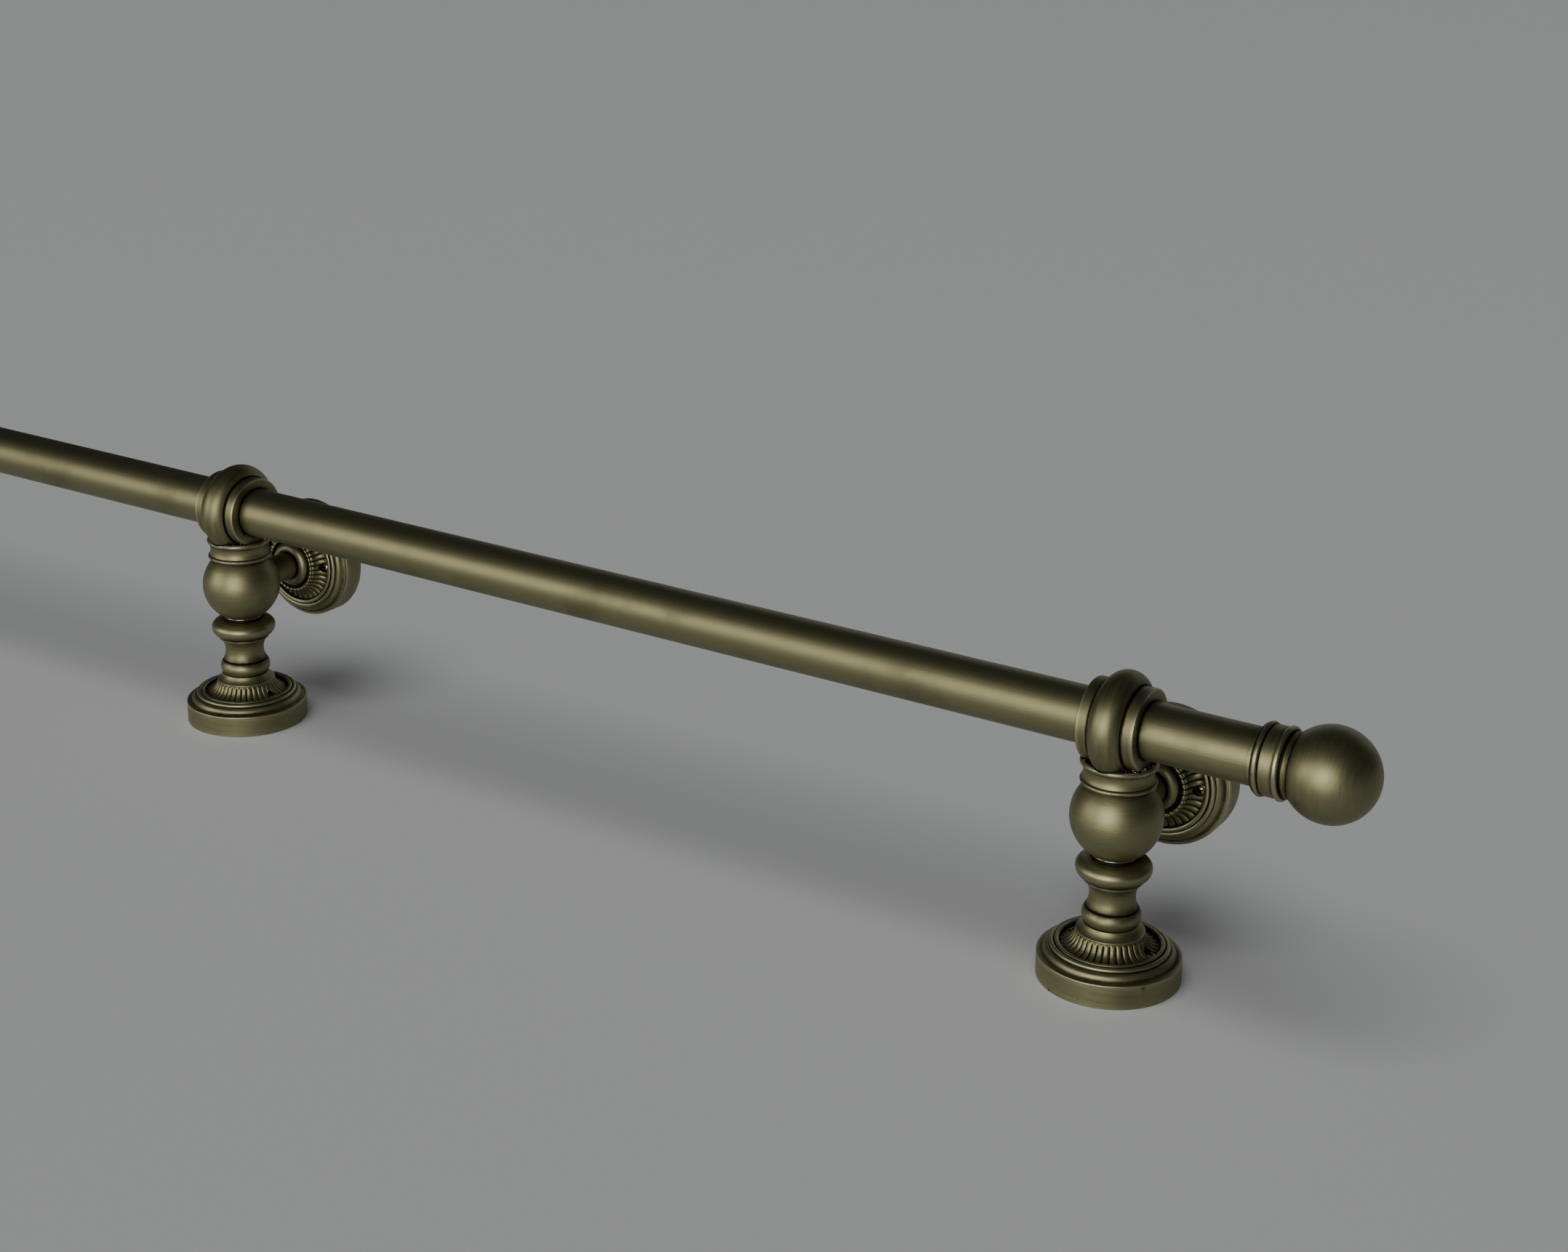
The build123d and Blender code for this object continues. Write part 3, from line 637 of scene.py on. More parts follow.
def joined(name, meshes):
    """Return one mesh made of several."""
    body = bmesh.new()
    for mesh in meshes:
        body.from_mesh(mesh)
    result = bpy.data.meshes.new(name)
    body.to_mesh(result)
    body.free()
    for material in meshes[0].materials:
        result.materials.append(material)
    return result


print("cutting trees:", cut_away.name, "and", join_on.name)

# %% [markdown]
# ## The reeded flange
# The flange is the richest piece: a plain rim, an ogee, a bead, a lip, then a hollow trough whose floor
# is carved into thirty-six reeds. On the floor its middle is a skirt and a bead that carry the post. On
# the wall it is a low bead about the arm, and there the heads of the reeds stand free over a groove.
# %% Flange outlines
flange_radius, rim_round, rim_inset, rim_ledge, rim_wall, rim_roof = 64.0, 1.0, 0.293, 0.6, 6.0, 5.0
ogee_width, ogee_rise = 9.0, 6.5
moulding_ledge, moulding_step, moulding_width, moulding_drop, moulding_fall = 0.4, 0.2, 4.2, 1.5, 1.0
moulding_crest = 0.35 * moulding_width
nick_width, nick_depth, nick_rise, lip_width, lip_depth, lip_crown = 0.4, 0.3, 1.5, 4.3, 4.5, 0.8
cast_wall, hollow_width, lip_roof, post_web_depth = 5.5, 8.0, 2.0, 19.8
skirt_band, skirt_draft, skirt_hollow, skirt_sag = 0.8, 0.1, 0.7, 0.3
boss_ledge, boss_ledge_rise, boss_slope, boss_groove_depth, boss_foot_rise = 1.2, 0.8, 1.0, 2.3, 0.4
boss_bead_radius, boss_bead_inset, boss_bead_share = 24.2, 1.8, 0.74
boss_top_radius, boss_edge_radius, boss_edge_depth = 17.6, 16.7, 1.1

rim_inner = flange_radius - rim_round - rim_ledge
ogee_inner = rim_inner - ogee_width
moulding_outer = ogee_inner - moulding_ledge
moulding_inner = moulding_outer - moulding_width
lip_outer, lip_inner = moulding_inner - nick_width, moulding_inner - lip_width
trough_bed = rim_height + trough_floor
boss_top = rim_height + boss_height


def flange_outline(on_wall):
    """Draw a flange from its rim over the trough to the bore and back under the casting."""
    ogee_top, roof, lip_top = rim_height + ogee_rise, trough_bed - cast_wall, trough_bed + lip_depth
    crest, lip_side = lip_top - moulding_drop, lip_top - lip_crown
    o = Outline(flange_radius - rim_wall, 0).line(flange_radius, 0)
    o.line(flange_radius, rim_height - rim_round)
    rim_corner = (flange_radius - rim_inset, rim_height - rim_inset)
    o.through(rim_corner, (flange_radius - rim_round, rim_height)).line(rim_inner, rim_height)
    o.leaving((-1, 0), (rim_inner - ogee_width / 2, rim_height + ogee_rise / 2))
    o.arriving((ogee_inner, ogee_top), (-1, 0)).line(moulding_outer, ogee_top + moulding_step)
    bead_middle = (moulding_outer - moulding_crest, crest + moulding_step)
    o.through(bead_middle, (moulding_inner, crest - moulding_fall))
    o.line(lip_outer, crest - moulding_fall - nick_depth).line(lip_outer, lip_side)
    o.through(((lip_outer + lip_inner) / 2, lip_top), (lip_inner, lip_side)).line(lip_inner, trough_bed)
    o.line(trough_centre, trough_bed)
    o.put(arc_points((trough_centre, rim_height + trough_rise), (trough_centre, trough_bed), -math.pi / 2))
    hollow_top = arm_middle(o) if on_wall else post_middle(o)
    o.line(rod_bore, hollow_top).line(bead_radius - hollow_width, hollow_top)
    o.line(trough_inner + cast_wall, roof).line(lip_inner + lip_roof, roof)
    return o.line(flange_radius - rim_wall, rim_height - rim_roof).line(flange_radius - rim_wall, 0)


def post_middle(o):
    """Go on with a skirt and a bead, down to the web of the post, and return the web's height."""
    edge = rim_height + skirt_edge
    skirt_top = edge + skirt_rise
    waist = ((skirt_foot + skirt_top_radius) / 2 - skirt_hollow, (edge + skirt_top) / 2 - skirt_sag)
    o.line(trough_inner, edge).line(skirt_foot, edge).line(skirt_foot - skirt_draft, edge + skirt_band)
    o.through(waist, (skirt_top_radius, skirt_top)).line(bead_side, skirt_top)
    o.through((bead_radius, (skirt_top + flange_top) / 2), (bead_side, flange_top)).line(rod_bore, flange_top)
    return flange_top - post_web_depth


def arm_middle(o):
    """Go on with a ledge, a groove and a low bead round the arm's socket, and return the web's height."""
    ledge, groove = (rim_height + trough_rise + rise for rise in (boss_ledge_rise, -boss_groove_depth))
    ledge_radius, socket = trough_inner - boss_ledge, arm_radius + slip
    edge, bottom = boss_top - boss_edge_depth, boss_top - socket_depth
    bead_middle = (boss_bead_radius - boss_bead_inset, groove + boss_bead_share * (boss_top - groove))
    o.line(trough_inner, ledge).line(ledge_radius, ledge)
    o.line(ledge_radius - boss_slope, groove + boss_foot_rise)
    o.line(boss_bead_radius, groove).through(bead_middle, (boss_top_radius, boss_top))
    o.line(boss_edge_radius, boss_top).line(boss_edge_radius, edge)
    o.line(socket, edge).line(socket, bottom).line(rod_bore, bottom)
    return bottom - boss_web


for on_wall in (False, True):
    print("wall" if on_wall else "floor", "flange outline has", len(flange_outline(on_wall).runs), "runs")

# %% [markdown]
# ## Reeds, bosses and holes
# A reed is the top of an ellipse across and keeps its height along the trough, so it widens outwards as
# the circle does. The bosses behind the trough are joined on, then each screw gets a spot face and a
# hole, all in the flange's own frame. Only then is the flange laid in its place.
# %% Flanges
reed_count, reed_fill, reed_rise, reed_start, reed_head = 36, 0.47, 1.5, 0.6, 2.2
head_rise, head_drop, head_slope, head_width = 0.85, 1.9, 2.4, 2.3
ON_ARC, ON_FLOOR, ON_EDGE = 0.2, 0.5, 0.1
screw_circle, screw_shank, screw_head, screw_boss = 39.2, 2.4, 5.4, 6.2
spot_face, hole_gap, head_gap, boss_sink, drill_over = 0.3, 0.3, 0.35, 4.0, (2.0, 30.0)
screw_seat = trough_bed - spot_face
screw_places = (-screw_circle, screw_circle)
at_wall = (0, wall_distance, hub_height)


def reed_lift(on_wall):
    """Return a function that gives how high a reed stands at each outline point."""
    def lift(points):
        r, h = points[:, 0], points[:, 1] - rim_height
        off = np.abs(np.hypot(r - trough_centre, h - trough_rise) - trough_radius)
        flat = (r > trough_centre) & (r < lip_inner + ON_EDGE) & (np.abs(h - trough_floor) < ON_FLOOR)
        bowl = (off < ON_ARC) & (r <= trough_centre) & (h < trough_rise)
        if on_wall:
            inner = (r > trough_inner - head_width) & (r < trough_inner + ON_EDGE)
            head = inner & (h > trough_rise - head_drop)
            slope = head_rise * np.clip((h - trough_rise + head_drop) / head_slope, 0, 1)
            rise = np.where(head, slope, np.where(bowl, reed_rise, 0.0))
        else:
            along = trough_radius * np.arctan2(trough_rise - h, trough_centre - r)
            share = np.clip((along - reed_start) / reed_head, 0, 1)
            rise = np.where(bowl, reed_rise * np.sqrt(1 - (1 - share) ** 2), 0.0)
        return np.where(flat, reed_rise, rise)
    return lift


def behind(points):
    """Mark the raw side: every point after the outline has reached the bore."""
    return (np.arange(len(points)) >= len(points) - np.argmin(points[::-1, 0])).astype(float)


def at_screws(name, mesh):
    """Return one mesh with a copy of a mesh at each screw."""
    return joined(name, [moved(mesh, (x, 0, 0)) for x in screw_places])


def laid(mesh, turn, place):
    """Lay a mesh of the flange's own frame in its place and return it."""
    mesh.transform(Matrix.Translation(Vector(place) * MM) @ Matrix.Rotation(turn, 4, "X"))
    return mesh


def drilled_flange(name, on_wall, turn, place):
    """Turn a flange, add the two screw bosses behind it and drill them."""
    joint = (arm_radius, boss_top) if on_wall else (bead_side, flange_top)
    shape = turned_mesh(name, flange_outline(on_wall), cast_brass, contacts=[joint, (lip_inner, trough_bed)],
                        steps=360, reeds=(reed_count, reed_fill, 0.0), longest=6.0, reed=reed_lift(on_wall),
                        raw=behind, grooves=[(lip_outer, trough_bed + nick_rise)])
    boss_top_inside, hole, face = screw_seat - boss_sink, screw_shank + hole_gap, screw_head + head_gap
    boss = Outline(0, 0).line(screw_boss, 0).line(screw_boss, boss_top_inside).line(0, boss_top_inside)
    low, high = -drill_over[0], screw_seat + drill_over[1]
    drill = Outline(0, low).line(hole, low).line(hole, screw_seat).line(face, screw_seat)
    drill.line(face, high).line(0, high)
    for outline, tree in ((boss, join_on), (drill, cut_away)):
        tool = turned_mesh("tool", outline, cast_brass, soft=0.1, steps=64)
        shape = cut(shape, at_screws("tools", tool), tree, cast_brass)
    return laid(shape, turn, place)


shapes = {
    "floor_flange": drilled_flange("floor_flange", False, 0.0, (0, 0, 0)),
    "wall_flange": drilled_flange("wall_flange", True, math.pi / 2, at_wall),
}
print("flange faces:", {name: len(mesh.polygons) for name, mesh in shapes.items()})

# %% [markdown]
# ## The post and the ring
# The post is a stack of turned pieces drawn together by a rod: stem, knop, ball and collar. The ring on
# top was cast round a core and turned, and its collar was filed to it. A grub screw at its back holds the
# tube, so the ring has a small hole there. Each outline is drawn from its own base, so a turner could
# read the numbers straight off.
# %% Outlines of the post
knop_radius, knop_base, knop_shoulder, knop_seat, knop_belly, knop_crown = 33.8, 29.0, 21.6, 20.2, 8.7, 8.9
stem_base, stem_base_height, stem_base_step = 22.7, 1.6, 0.4
stem_neck, stem_neck_height, stem_cap, stem_cap_flare, stem_cap_height = 20.4, 11.7, 26.6, 1.2, 3.8
collar_height, collar_bead, collar_bead_height, collar_bead_sides = 21.8, 33.7, 3.9, (1.9, 1.7)
collar_edge, collar_edge_rise, collar_waist, collar_waist_step, cup_wall = 32.2, 0.9, 31.0, 0.4, 2.8
collar_lip, collar_lip_height, collar_lip_sides, collar_mouth = 34.3, 5.2, (2.2, 1.8), 2.9
# The contact inside the cup gives a dark line with a band of painted shade.
cup_corner, cup_stain_and_shade = (2.0, 4.0), (30.5, collar_height - 2.0)
ring_chamfer, ring_step = 0.6, 0.5
QUARTER_POINTS = 22


def knop_outline():
    """Draw the knop: a rounded ring with a short neck for the ball."""
    quarter = np.linspace(0, math.pi / 2, QUARTER_POINTS)
    bulge, shoulder = knop_radius - knop_shoulder, knop_belly + knop_crown
    o = Outline(rod_bore, 0).line(knop_base, 0).arriving((knop_radius, knop_belly), (0, 1))
    o.put(np.stack([knop_shoulder + bulge * np.cos(quarter), knop_belly + knop_crown * np.sin(quarter)], 1))
    o.line(knop_seat, shoulder).line(knop_seat, knop_height)
    return o.line(rod_bore, knop_height).line(rod_bore, 0)


def stem_outline():
    """Draw the stem: a base band, a hollow neck and a flat cap."""
    foot, cap_low = stem_base - stem_base_step, stem_height - stem_cap_height
    o = Outline(rod_bore, 0).line(stem_base, 0).line(stem_base, stem_base_height).line(foot, stem_base_height)
    o.arriving((stem_neck, stem_neck_height), (0, 1)).leaving((0, 1), (stem_cap - stem_cap_flare, cap_low))
    o.line(stem_cap, cap_low).line(stem_cap, stem_height)
    return o.line(rod_bore, stem_height).line(rod_bore, 0)


def hub_outline():
    """Draw the ball from its own middle, with a flat land at each pole."""
    low, high = knop_top - hub_height, collar_base - hub_height
    o = Outline(rod_bore, low).line(knop_land, low).through((hub_radius, 0), (collar_seat, high))
    return o.line(rod_bore, high).line(rod_bore, low)


def collar_outline():
    """Draw the collar: a bead, a waist and a lip round a cup."""
    edge, lip_low = collar_bead_height + collar_edge_rise, collar_height - collar_lip_height
    cup = collar_waist - cup_wall
    o = Outline(rod_bore, 0).line(collar_bead - collar_bead_sides[0], 0)
    o.through((collar_bead, collar_bead_height / 2), (collar_bead - collar_bead_sides[1], collar_bead_height))
    o.line(collar_waist + collar_waist_step, collar_bead_height).line(collar_edge, edge)
    o.through((collar_waist, (edge + lip_low) / 2), (collar_lip - collar_lip_sides[0], lip_low))
    lip_middle = (collar_lip, collar_height - collar_lip_height / 2)
    o.through(lip_middle, (collar_lip - collar_lip_sides[1], collar_height))
    o.line(collar_lip - collar_mouth, collar_height).line(cup, collar_floor + cup_corner[1])
    return o.line(cup - cup_corner[0], collar_floor).line(rod_bore, collar_floor).line(rod_bore, 0)


def ring_outline(grown=0.0, bore=tube_radius + slip):
    """Draw the ring from its own middle, grown on all sides where it serves as a tool."""
    side, half, crown = ring_collar + grown, ring_half + grown, ring_bulge + grown
    o = Outline(bore, -half).line(side - ring_chamfer, -half).line(side, ring_chamfer - half)
    o.line(side, -ring_shoulder).line(side + ring_step, -ring_shoulder)
    o.through((crown, 0), (side + ring_step, ring_shoulder)).line(side, ring_shoulder)
    o.line(side, half - ring_chamfer).line(side - ring_chamfer, half)
    return o.line(bore, half).line(bore, -half)


def rod_outline(radius, length, bore=rod_bore):
    """Draw a plain round bar, bored or solid."""
    return Outline(bore, 0).line(radius, 0).line(radius, length).line(bore, length).line(bore, 0)


print("runs of the collar and the ring:", len(collar_outline().runs), len(ring_outline().runs))

# %% [markdown]
# ## Turning the post and the ring
# Each piece is turned where it stands at the middle bracket. The places where it meets its neighbours are
# given as contacts, so that a dark line stays in every joint, as polish residue does, with a wider band of
# painted shade round it.
# %% Post, ball, collar and ring
FINE_STEPS = 160
coping_gap, groove_lift, grub_radius, grub_angle = 1.3, 0.2, 3.0, math.radians(30)
arm_length = arm_exposed + socket_depth + arm_ball_depth
at_ring, at_hub, at_arm = (0, 0, rail_height), (0, 0, hub_height), (0, arm_start, hub_height)

shapes["stem"] = turned_mesh("stem", stem_outline(), turned_brass, place=(0, 0, flange_top),
                             contacts=[(stem_base, 0), (stem_cap, stem_height)])
shapes["knop_ring"] = turned_mesh("knop_ring", knop_outline(), turned_brass, place=(0, 0, stem_top),
                                  contacts=[(knop_base, 0), (knop_seat, knop_height)], steps=FINE_STEPS)
shapes["wall_arm"] = turned_mesh(
    "wall_arm", rod_outline(arm_radius, arm_length), turned_brass, TO_WALL, at_arm,
    contacts=[(arm_radius, arm_ball_depth), (arm_radius, arm_length - socket_depth)])

ball = turned_mesh("hub_ball", hub_outline(), turned_brass, place=at_hub, steps=FINE_STEPS,
                   contacts=[(knop_land, knop_top - hub_height), (collar_seat, collar_base - hub_height)])
socket = turned_mesh("socket", rod_outline(arm_radius + slip, 2 * arm_radius, 0), turned_brass,
                     TO_WALL, at_arm)
shapes["hub_ball"] = cut(ball, socket, cut_away, turned_brass)

collar = turned_mesh("neck_collar", collar_outline(), turned_brass, place=(0, 0, collar_base),
                     contacts=[(collar_bead - collar_bead_sides[0], 0), cup_stain_and_shade], steps=FINE_STEPS)
coping = turned_mesh("coping", ring_outline(coping_gap, 0), turned_brass, ALONG_RAIL, at_ring,
                     steps=FINE_STEPS)
shapes["neck_collar"] = cut(collar, coping, cut_away, turned_brass)

ring = turned_mesh("rail_ring", ring_outline(), ring_brass, ALONG_RAIL, at_ring, steps=FINE_STEPS,
                   contacts=[(tube_radius, way * ring_half) for way in (-1, 1)],
                   grooves=[(ring_collar + groove_lift, way * ring_shoulder) for way in (-1, 1)])
grub_hole = turned_mesh("grub_hole", rod_outline(grub_radius + slip, 2 * ring_collar, 0), ring_brass,
                        (TO_WALL[0] - grub_angle, 0.0, 0.0),
                        ((ring_shoulder + ring_half) / 2, 0, rail_height),
                        soft=0.1, steps=48)
shapes["rail_ring"] = cut(ring, grub_hole, cut_away, ring_brass)
print("post pieces:", {name: len(mesh.polygons) for name, mesh in shapes.items()})

# %% [markdown]
# ## Tube, ferrules and end balls
# The tube is drawn through a die, so its brush marks run lengthwise. Where it enters a ring or a ferrule
# a dark line of polish residue stays, with a wider band of painted shade round it. The tube needs few
# points along its length, but close ones at those lines, to carry them. The ferrule is a turned plug with
# two beads that closes the tube and carries the ball.
# %% Tube and ends
SHADE_AND_STAIN_MARKS = (0, 1.2, 2.5, 4.5, 7, 10, 15)
ferrule_spigot, ferrule_length, ferrule_seat = 32.0, 32.0, 30.2
ferrule_fillet, ferrule_fillet_width, ferrule_bead = 30.4, 1.2, 32.2
ferrule_line, ferrule_band, ferrule_neck = 29.6, 30.6, 28.4
first_bead_end, band_start, band_end, second_bead_end, cove_start = 6.6, 7.2, 18.9, 24.1, 25.7
stud_hole, stud_hole_depth = rod_radius + slip, 22.0
end_ball_radius, end_ball_seat = 41.4, 30.5


def tube_outline():
    """Draw the tube and return it with the places where polish residue leaves a dark line and painted shade
    darkens it.
    """
    inner = tube_radius - tube_wall
    joints = [x + side * ring_half for x in bracket_places.values() for side in (-1, 1)]
    stained_and_shaded = [-tube_end, *joints, tube_end]
    marks = {x + near * side for x in stained_and_shaded for near in SHADE_AND_STAIN_MARKS for side in (-1, 1)}
    o = Outline(inner, -tube_end)
    for x in sorted(x for x in marks if abs(x) <= tube_end):
        o.line(tube_radius, x)
    return o.line(inner, tube_end).line(inner, -tube_end), [(tube_radius, x) for x in stained_and_shaded]


def ferrule_outline():
    """Draw the ferrule from the tube's end: a spigot inside, two beads outside and a stud hole."""
    spigot, bottom = tube_radius - tube_wall - slip, ferrule_length - stud_hole_depth
    o = Outline(0, -ferrule_spigot).line(spigot, -ferrule_spigot).line(spigot, 0)
    o.line(ferrule_fillet, 0).line(ferrule_fillet, ferrule_fillet_width)
    o.through((ferrule_bead, (ferrule_fillet_width + first_bead_end) / 2), (ferrule_line, first_bead_end))
    o.line(ferrule_line, band_start).line(ferrule_band, band_start).line(ferrule_band, band_end)
    o.through((ferrule_bead, (band_end + second_bead_end) / 2), (ferrule_neck, second_bead_end))
    o.line(ferrule_neck, cove_start).leaving((0, 1), (ferrule_seat, ferrule_length))
    return o.line(stud_hole, ferrule_length).line(stud_hole, bottom).line(0, bottom)


def end_ball_outline():
    """Draw the end ball from its flat seat, with a stud hole."""
    land = math.sqrt(end_ball_radius ** 2 - end_ball_seat ** 2)
    o = Outline(0, stud_hole_depth).line(stud_hole, stud_hole_depth).line(stud_hole, 0).line(end_ball_seat, 0)
    return o.through((end_ball_radius, land), (0, land + end_ball_radius))


outline, stains_and_shade = tube_outline()
single = {"rail_tube": turned_mesh("rail_tube", outline, drawn_brass, ALONG_RAIL, at_ring,
                                   contacts=stains_and_shade, longest=80.0)}
for side, way, turn in (("right", 1, ALONG_RAIL), ("left", -1, ALONG_RAIL_BACK)):
    grooves = [(ferrule_line, (first_bead_end + band_start) / 2),
               (ferrule_neck, (second_bead_end + cove_start) / 2)]
    single[side + "_end_ferrule"] = turned_mesh(
        "end_ferrule", ferrule_outline(), turned_brass, turn, (way * tube_end, 0, rail_height),
        contacts=[(ferrule_fillet, 0), (ferrule_seat, ferrule_length)], grooves=grooves)
    single[side + "_end_ball"] = turned_mesh(
        "end_ball", end_ball_outline(), turned_brass, turn,
        (way * (tube_end + ferrule_length), 0, rail_height),
        contacts=[(end_ball_seat, 0)], steps=FINE_STEPS)
print("single pieces:", {name: len(mesh.polygons) for name, mesh in single.items()})

# %% [markdown]
# ## Screws
# Two dome-headed screws hold each flange. A band stands round the head, and a cross recess with a round
# pit in its middle is struck into the dome. The three strikes are cut one after another, because a
# boolean wants a tool that doesn't pass through itself.
# %% Screws
head_band, dome_radius, dome_foot, dome_foot_height, dome_top = 1.1, 4.6, 4.5, 1.6, 3.6
pit_floor, pit_foot, pit_mouth, pit_over = 1.4, 1.3, 2.4, 5.0
cross_length, cross_width, cross_depth, cross_middle = 6.0, 1.5, 4.0, 3.9
SCREW_TURN = math.radians(31)


def box_mesh(size, height):
    """Return a box on the axis, given by its size and the height of its middle."""
    body = bmesh.new()
    spot = Matrix.Translation(Vector((0, 0, height)) * MM) @ Matrix.Diagonal((*(Vector(size) * MM), 1))
    bmesh.ops.create_cube(body, size=1.0, matrix=spot)
    mesh = bpy.data.meshes.new("box")
    body.to_mesh(mesh)
    body.free()
    return mesh


def screw_pair(name, turn, place):
    """Turn a screw, strike its recess and set two of them in a flange."""
    seat = screw_seat
    o = Outline(0, 0).line(screw_shank, 0).line(screw_shank, seat).line(screw_head, seat)
    o.line(screw_head, seat + head_band).line(dome_radius, seat + head_band)
    o.line(dome_foot, seat + dome_foot_height)
    head = turned_mesh(name, o.arriving((0, seat + dome_top), (-1, 0)), screw_brass, soft=0.18, steps=64)
    pit = Outline(0, seat + pit_floor).line(pit_foot, seat + pit_floor).line(pit_mouth, seat + pit_over)
    strikes = [turned_mesh("pit", pit.line(0, seat + pit_over), screw_brass, soft=0.1, steps=24)]
    for width, depth in ((cross_length, cross_width), (cross_width, cross_length)):
        strikes.append(box_mesh((width, depth, cross_depth), seat + cross_middle))
    for strike in strikes:
        head = cut(head, strike, cut_away, screw_brass)
    head.transform(Matrix.Rotation(SCREW_TURN, 4, "Z"))
    return laid(at_screws(name, head), turn, place)


shapes["floor_screws"] = screw_pair("floor_screws", 0.0, (0, 0, 0))
shapes["wall_screws"] = screw_pair("wall_screws", math.pi / 2, at_wall)
print("screw pair faces:", len(shapes["floor_screws"].polygons))

# %% [markdown]
# ## Steel
# Rods, nuts and washers are zinc-plated steel. They are CAD nodes and only get a finish, but the arm's
# stud is turned again, because its threaded end shows behind the wall flange.
# %% Steel and the arm's stud
STEEL_NODES = ("tie_rod", "tie_nut", "tie_washer", "arm_nut", "arm_washer", "grub_screw", "end_stud")
SPECKLE_SCALE, SPECKLE_RELIEF = 150.0, {"Strength": 0.6, "Distance": 0.5 * MM}
thread_length, thread_depth, thread_pitch, thread_rows, thread_fade = 6.0, 0.7, 1.5, 25, 0.8
tip_chamfer, tip_bevel, tip_margin, ON_THREAD = 0.5, 0.3, 0.3, 0.02
stud_engagement, washer_height, nut_height, stud_tail = 16.0, 2.0, 8.0, 3.0


def bare_metal(name, tone, rough):
    """Return a plain mottled metal."""
    material, m, place = metal_maker(name)
    sockets = {"Vector": place, "Scale": SPECKLE_SCALE, "Detail": 3.0}
    mottle = m.add("ShaderNodeTexNoise", {}, sockets).out("Fac")
    colour = mottle.step(0.3, 0.7).mix(tuple(0.8 * c for c in tone), tone)
    close_metal(m, colour, rough + 0.2 * (mottle - 0.5), mottle * 0.3, SPECKLE_RELIEF)
    return material


zinc_steel = bare_metal("zinc steel", (0.50, 0.51, 0.52), 0.4)
for label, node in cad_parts.items():
    if label.split("_", 1)[1] in STEEL_NODES:
        node.data.materials.clear()
        node.data.materials.append(zinc_steel)

stud_start = arm_start - stud_engagement + seat_gap
stud_end = wall_distance - (boss_top - socket_depth - boss_web - washer_height - nut_height - stud_tail)
stud_length = stud_end - stud_start
thread_foot, thread_start = rod_radius - thread_depth, stud_length - thread_length


def stud_outline():
    """Draw a rod whose last few millimetres are cut down to the foot of a thread."""
    o = Outline(0, 0).line(rod_radius, 0).line(rod_radius, thread_start).line(thread_foot, thread_start)
    o.put([(thread_foot, h) for h in np.linspace(thread_start, stud_length - tip_chamfer, thread_rows)])
    return o.line(thread_foot - tip_bevel, stud_length).line(0, stud_length)


def thread_lift(points):
    """Give the height of the thread at each outline point: none on the shank, and fading out at the tip."""
    r, h = points.T
    threaded = (np.abs(r - thread_foot) < ON_THREAD) & (h > thread_start)
    return np.where(threaded, thread_depth * np.clip((stud_length - h - tip_margin) / thread_fade, 0, 1), 0.0)


shapes["arm_stud"] = turned_mesh(
    "arm_stud", stud_outline(), zinc_steel, TO_WALL, (0, stud_start, hub_height), soft=0.1, steps=32,
    reeds=(1, 0.5, 1 / (thread_pitch * MM)), reed=thread_lift, longest=40.0)
print("stud faces:", len(shapes["arm_stud"].polygons), "length", round(stud_length, 2), "mm")

# %% [markdown]
# ## Braze and solder
# Ring and collar are brazed: the metal ran into the cup, dried almost black and left bright drops on top. The
# near-black of the pool is partly the braze and partly painted shade in the cup round the ring.
# A tree scatters the drops over the upward faces of the pool, with another seed for each bracket. Ball
# and knop are sweated together, which leaves a thin pale line.
# %% Braze and solder
pool_floor, pool_foot, pool_brim, pool_shore, pool_top = 9.5, 28.1, (31.0, 21.2), (27.0, 20.7), 20.5
pool_gap, drops_from, drops_density, least_drop = 0.1, 20.4, 60000.0, 0.25
seam_radius, seam_width, seam_rise = 20.5, 0.5, 0.2
FIRST_SEED, SEED_STEP = 7, 4
# The braze colour is near black: partly the braze itself, partly painted shade in the cup.
braze_and_shade = bare_metal("burnt braze", (0.022, 0.017, 0.011), 0.32)
solder = bare_metal("bright solder", (0.52, 0.47, 0.36), 0.22)

maker, given = shape_tree("solder drops", [
    ("Lowest", "Float"), ("Density", "Float"), ("Seed", "Int"), ("Finish", "Material")])
normal, position = maker.add("GeometryNodeInputNormal"), maker.add("GeometryNodeInputPosition")
up = maker.add("ShaderNodeSeparateXYZ", {}, {"Vector": normal}).out("Z")
height = maker.add("ShaderNodeSeparateXYZ", {}, {"Vector": position}).out("Z")
open_top = up.step(0.6, 0.7) * (height - given.out("Lowest")).step(0.0, 0.1 * MM)
points = maker.add("GeometryNodeDistributePointsOnFaces", {}, {
    "Mesh": given.out("Geometry"), "Selection": open_top, "Density": given.out("Density"),
    "Seed": given.out("Seed")})
drop = maker.add("GeometryNodeMeshIcoSphere", {}, {"Radius": MM, "Subdivisions": 2})
swell = maker.add("FunctionNodeRandomValue", {"data_type": "FLOAT"}, {
    "Min": 0.0, "Max": 1.0, "Seed": given.out("Seed")})
drops = maker.add("GeometryNodeInstanceOnPoints", {}, {
    "Points": points, "Instance": drop, "Scale": least_drop + swell ** 3})
drop_tree = close_tree(maker, drops, given.out("Finish"))

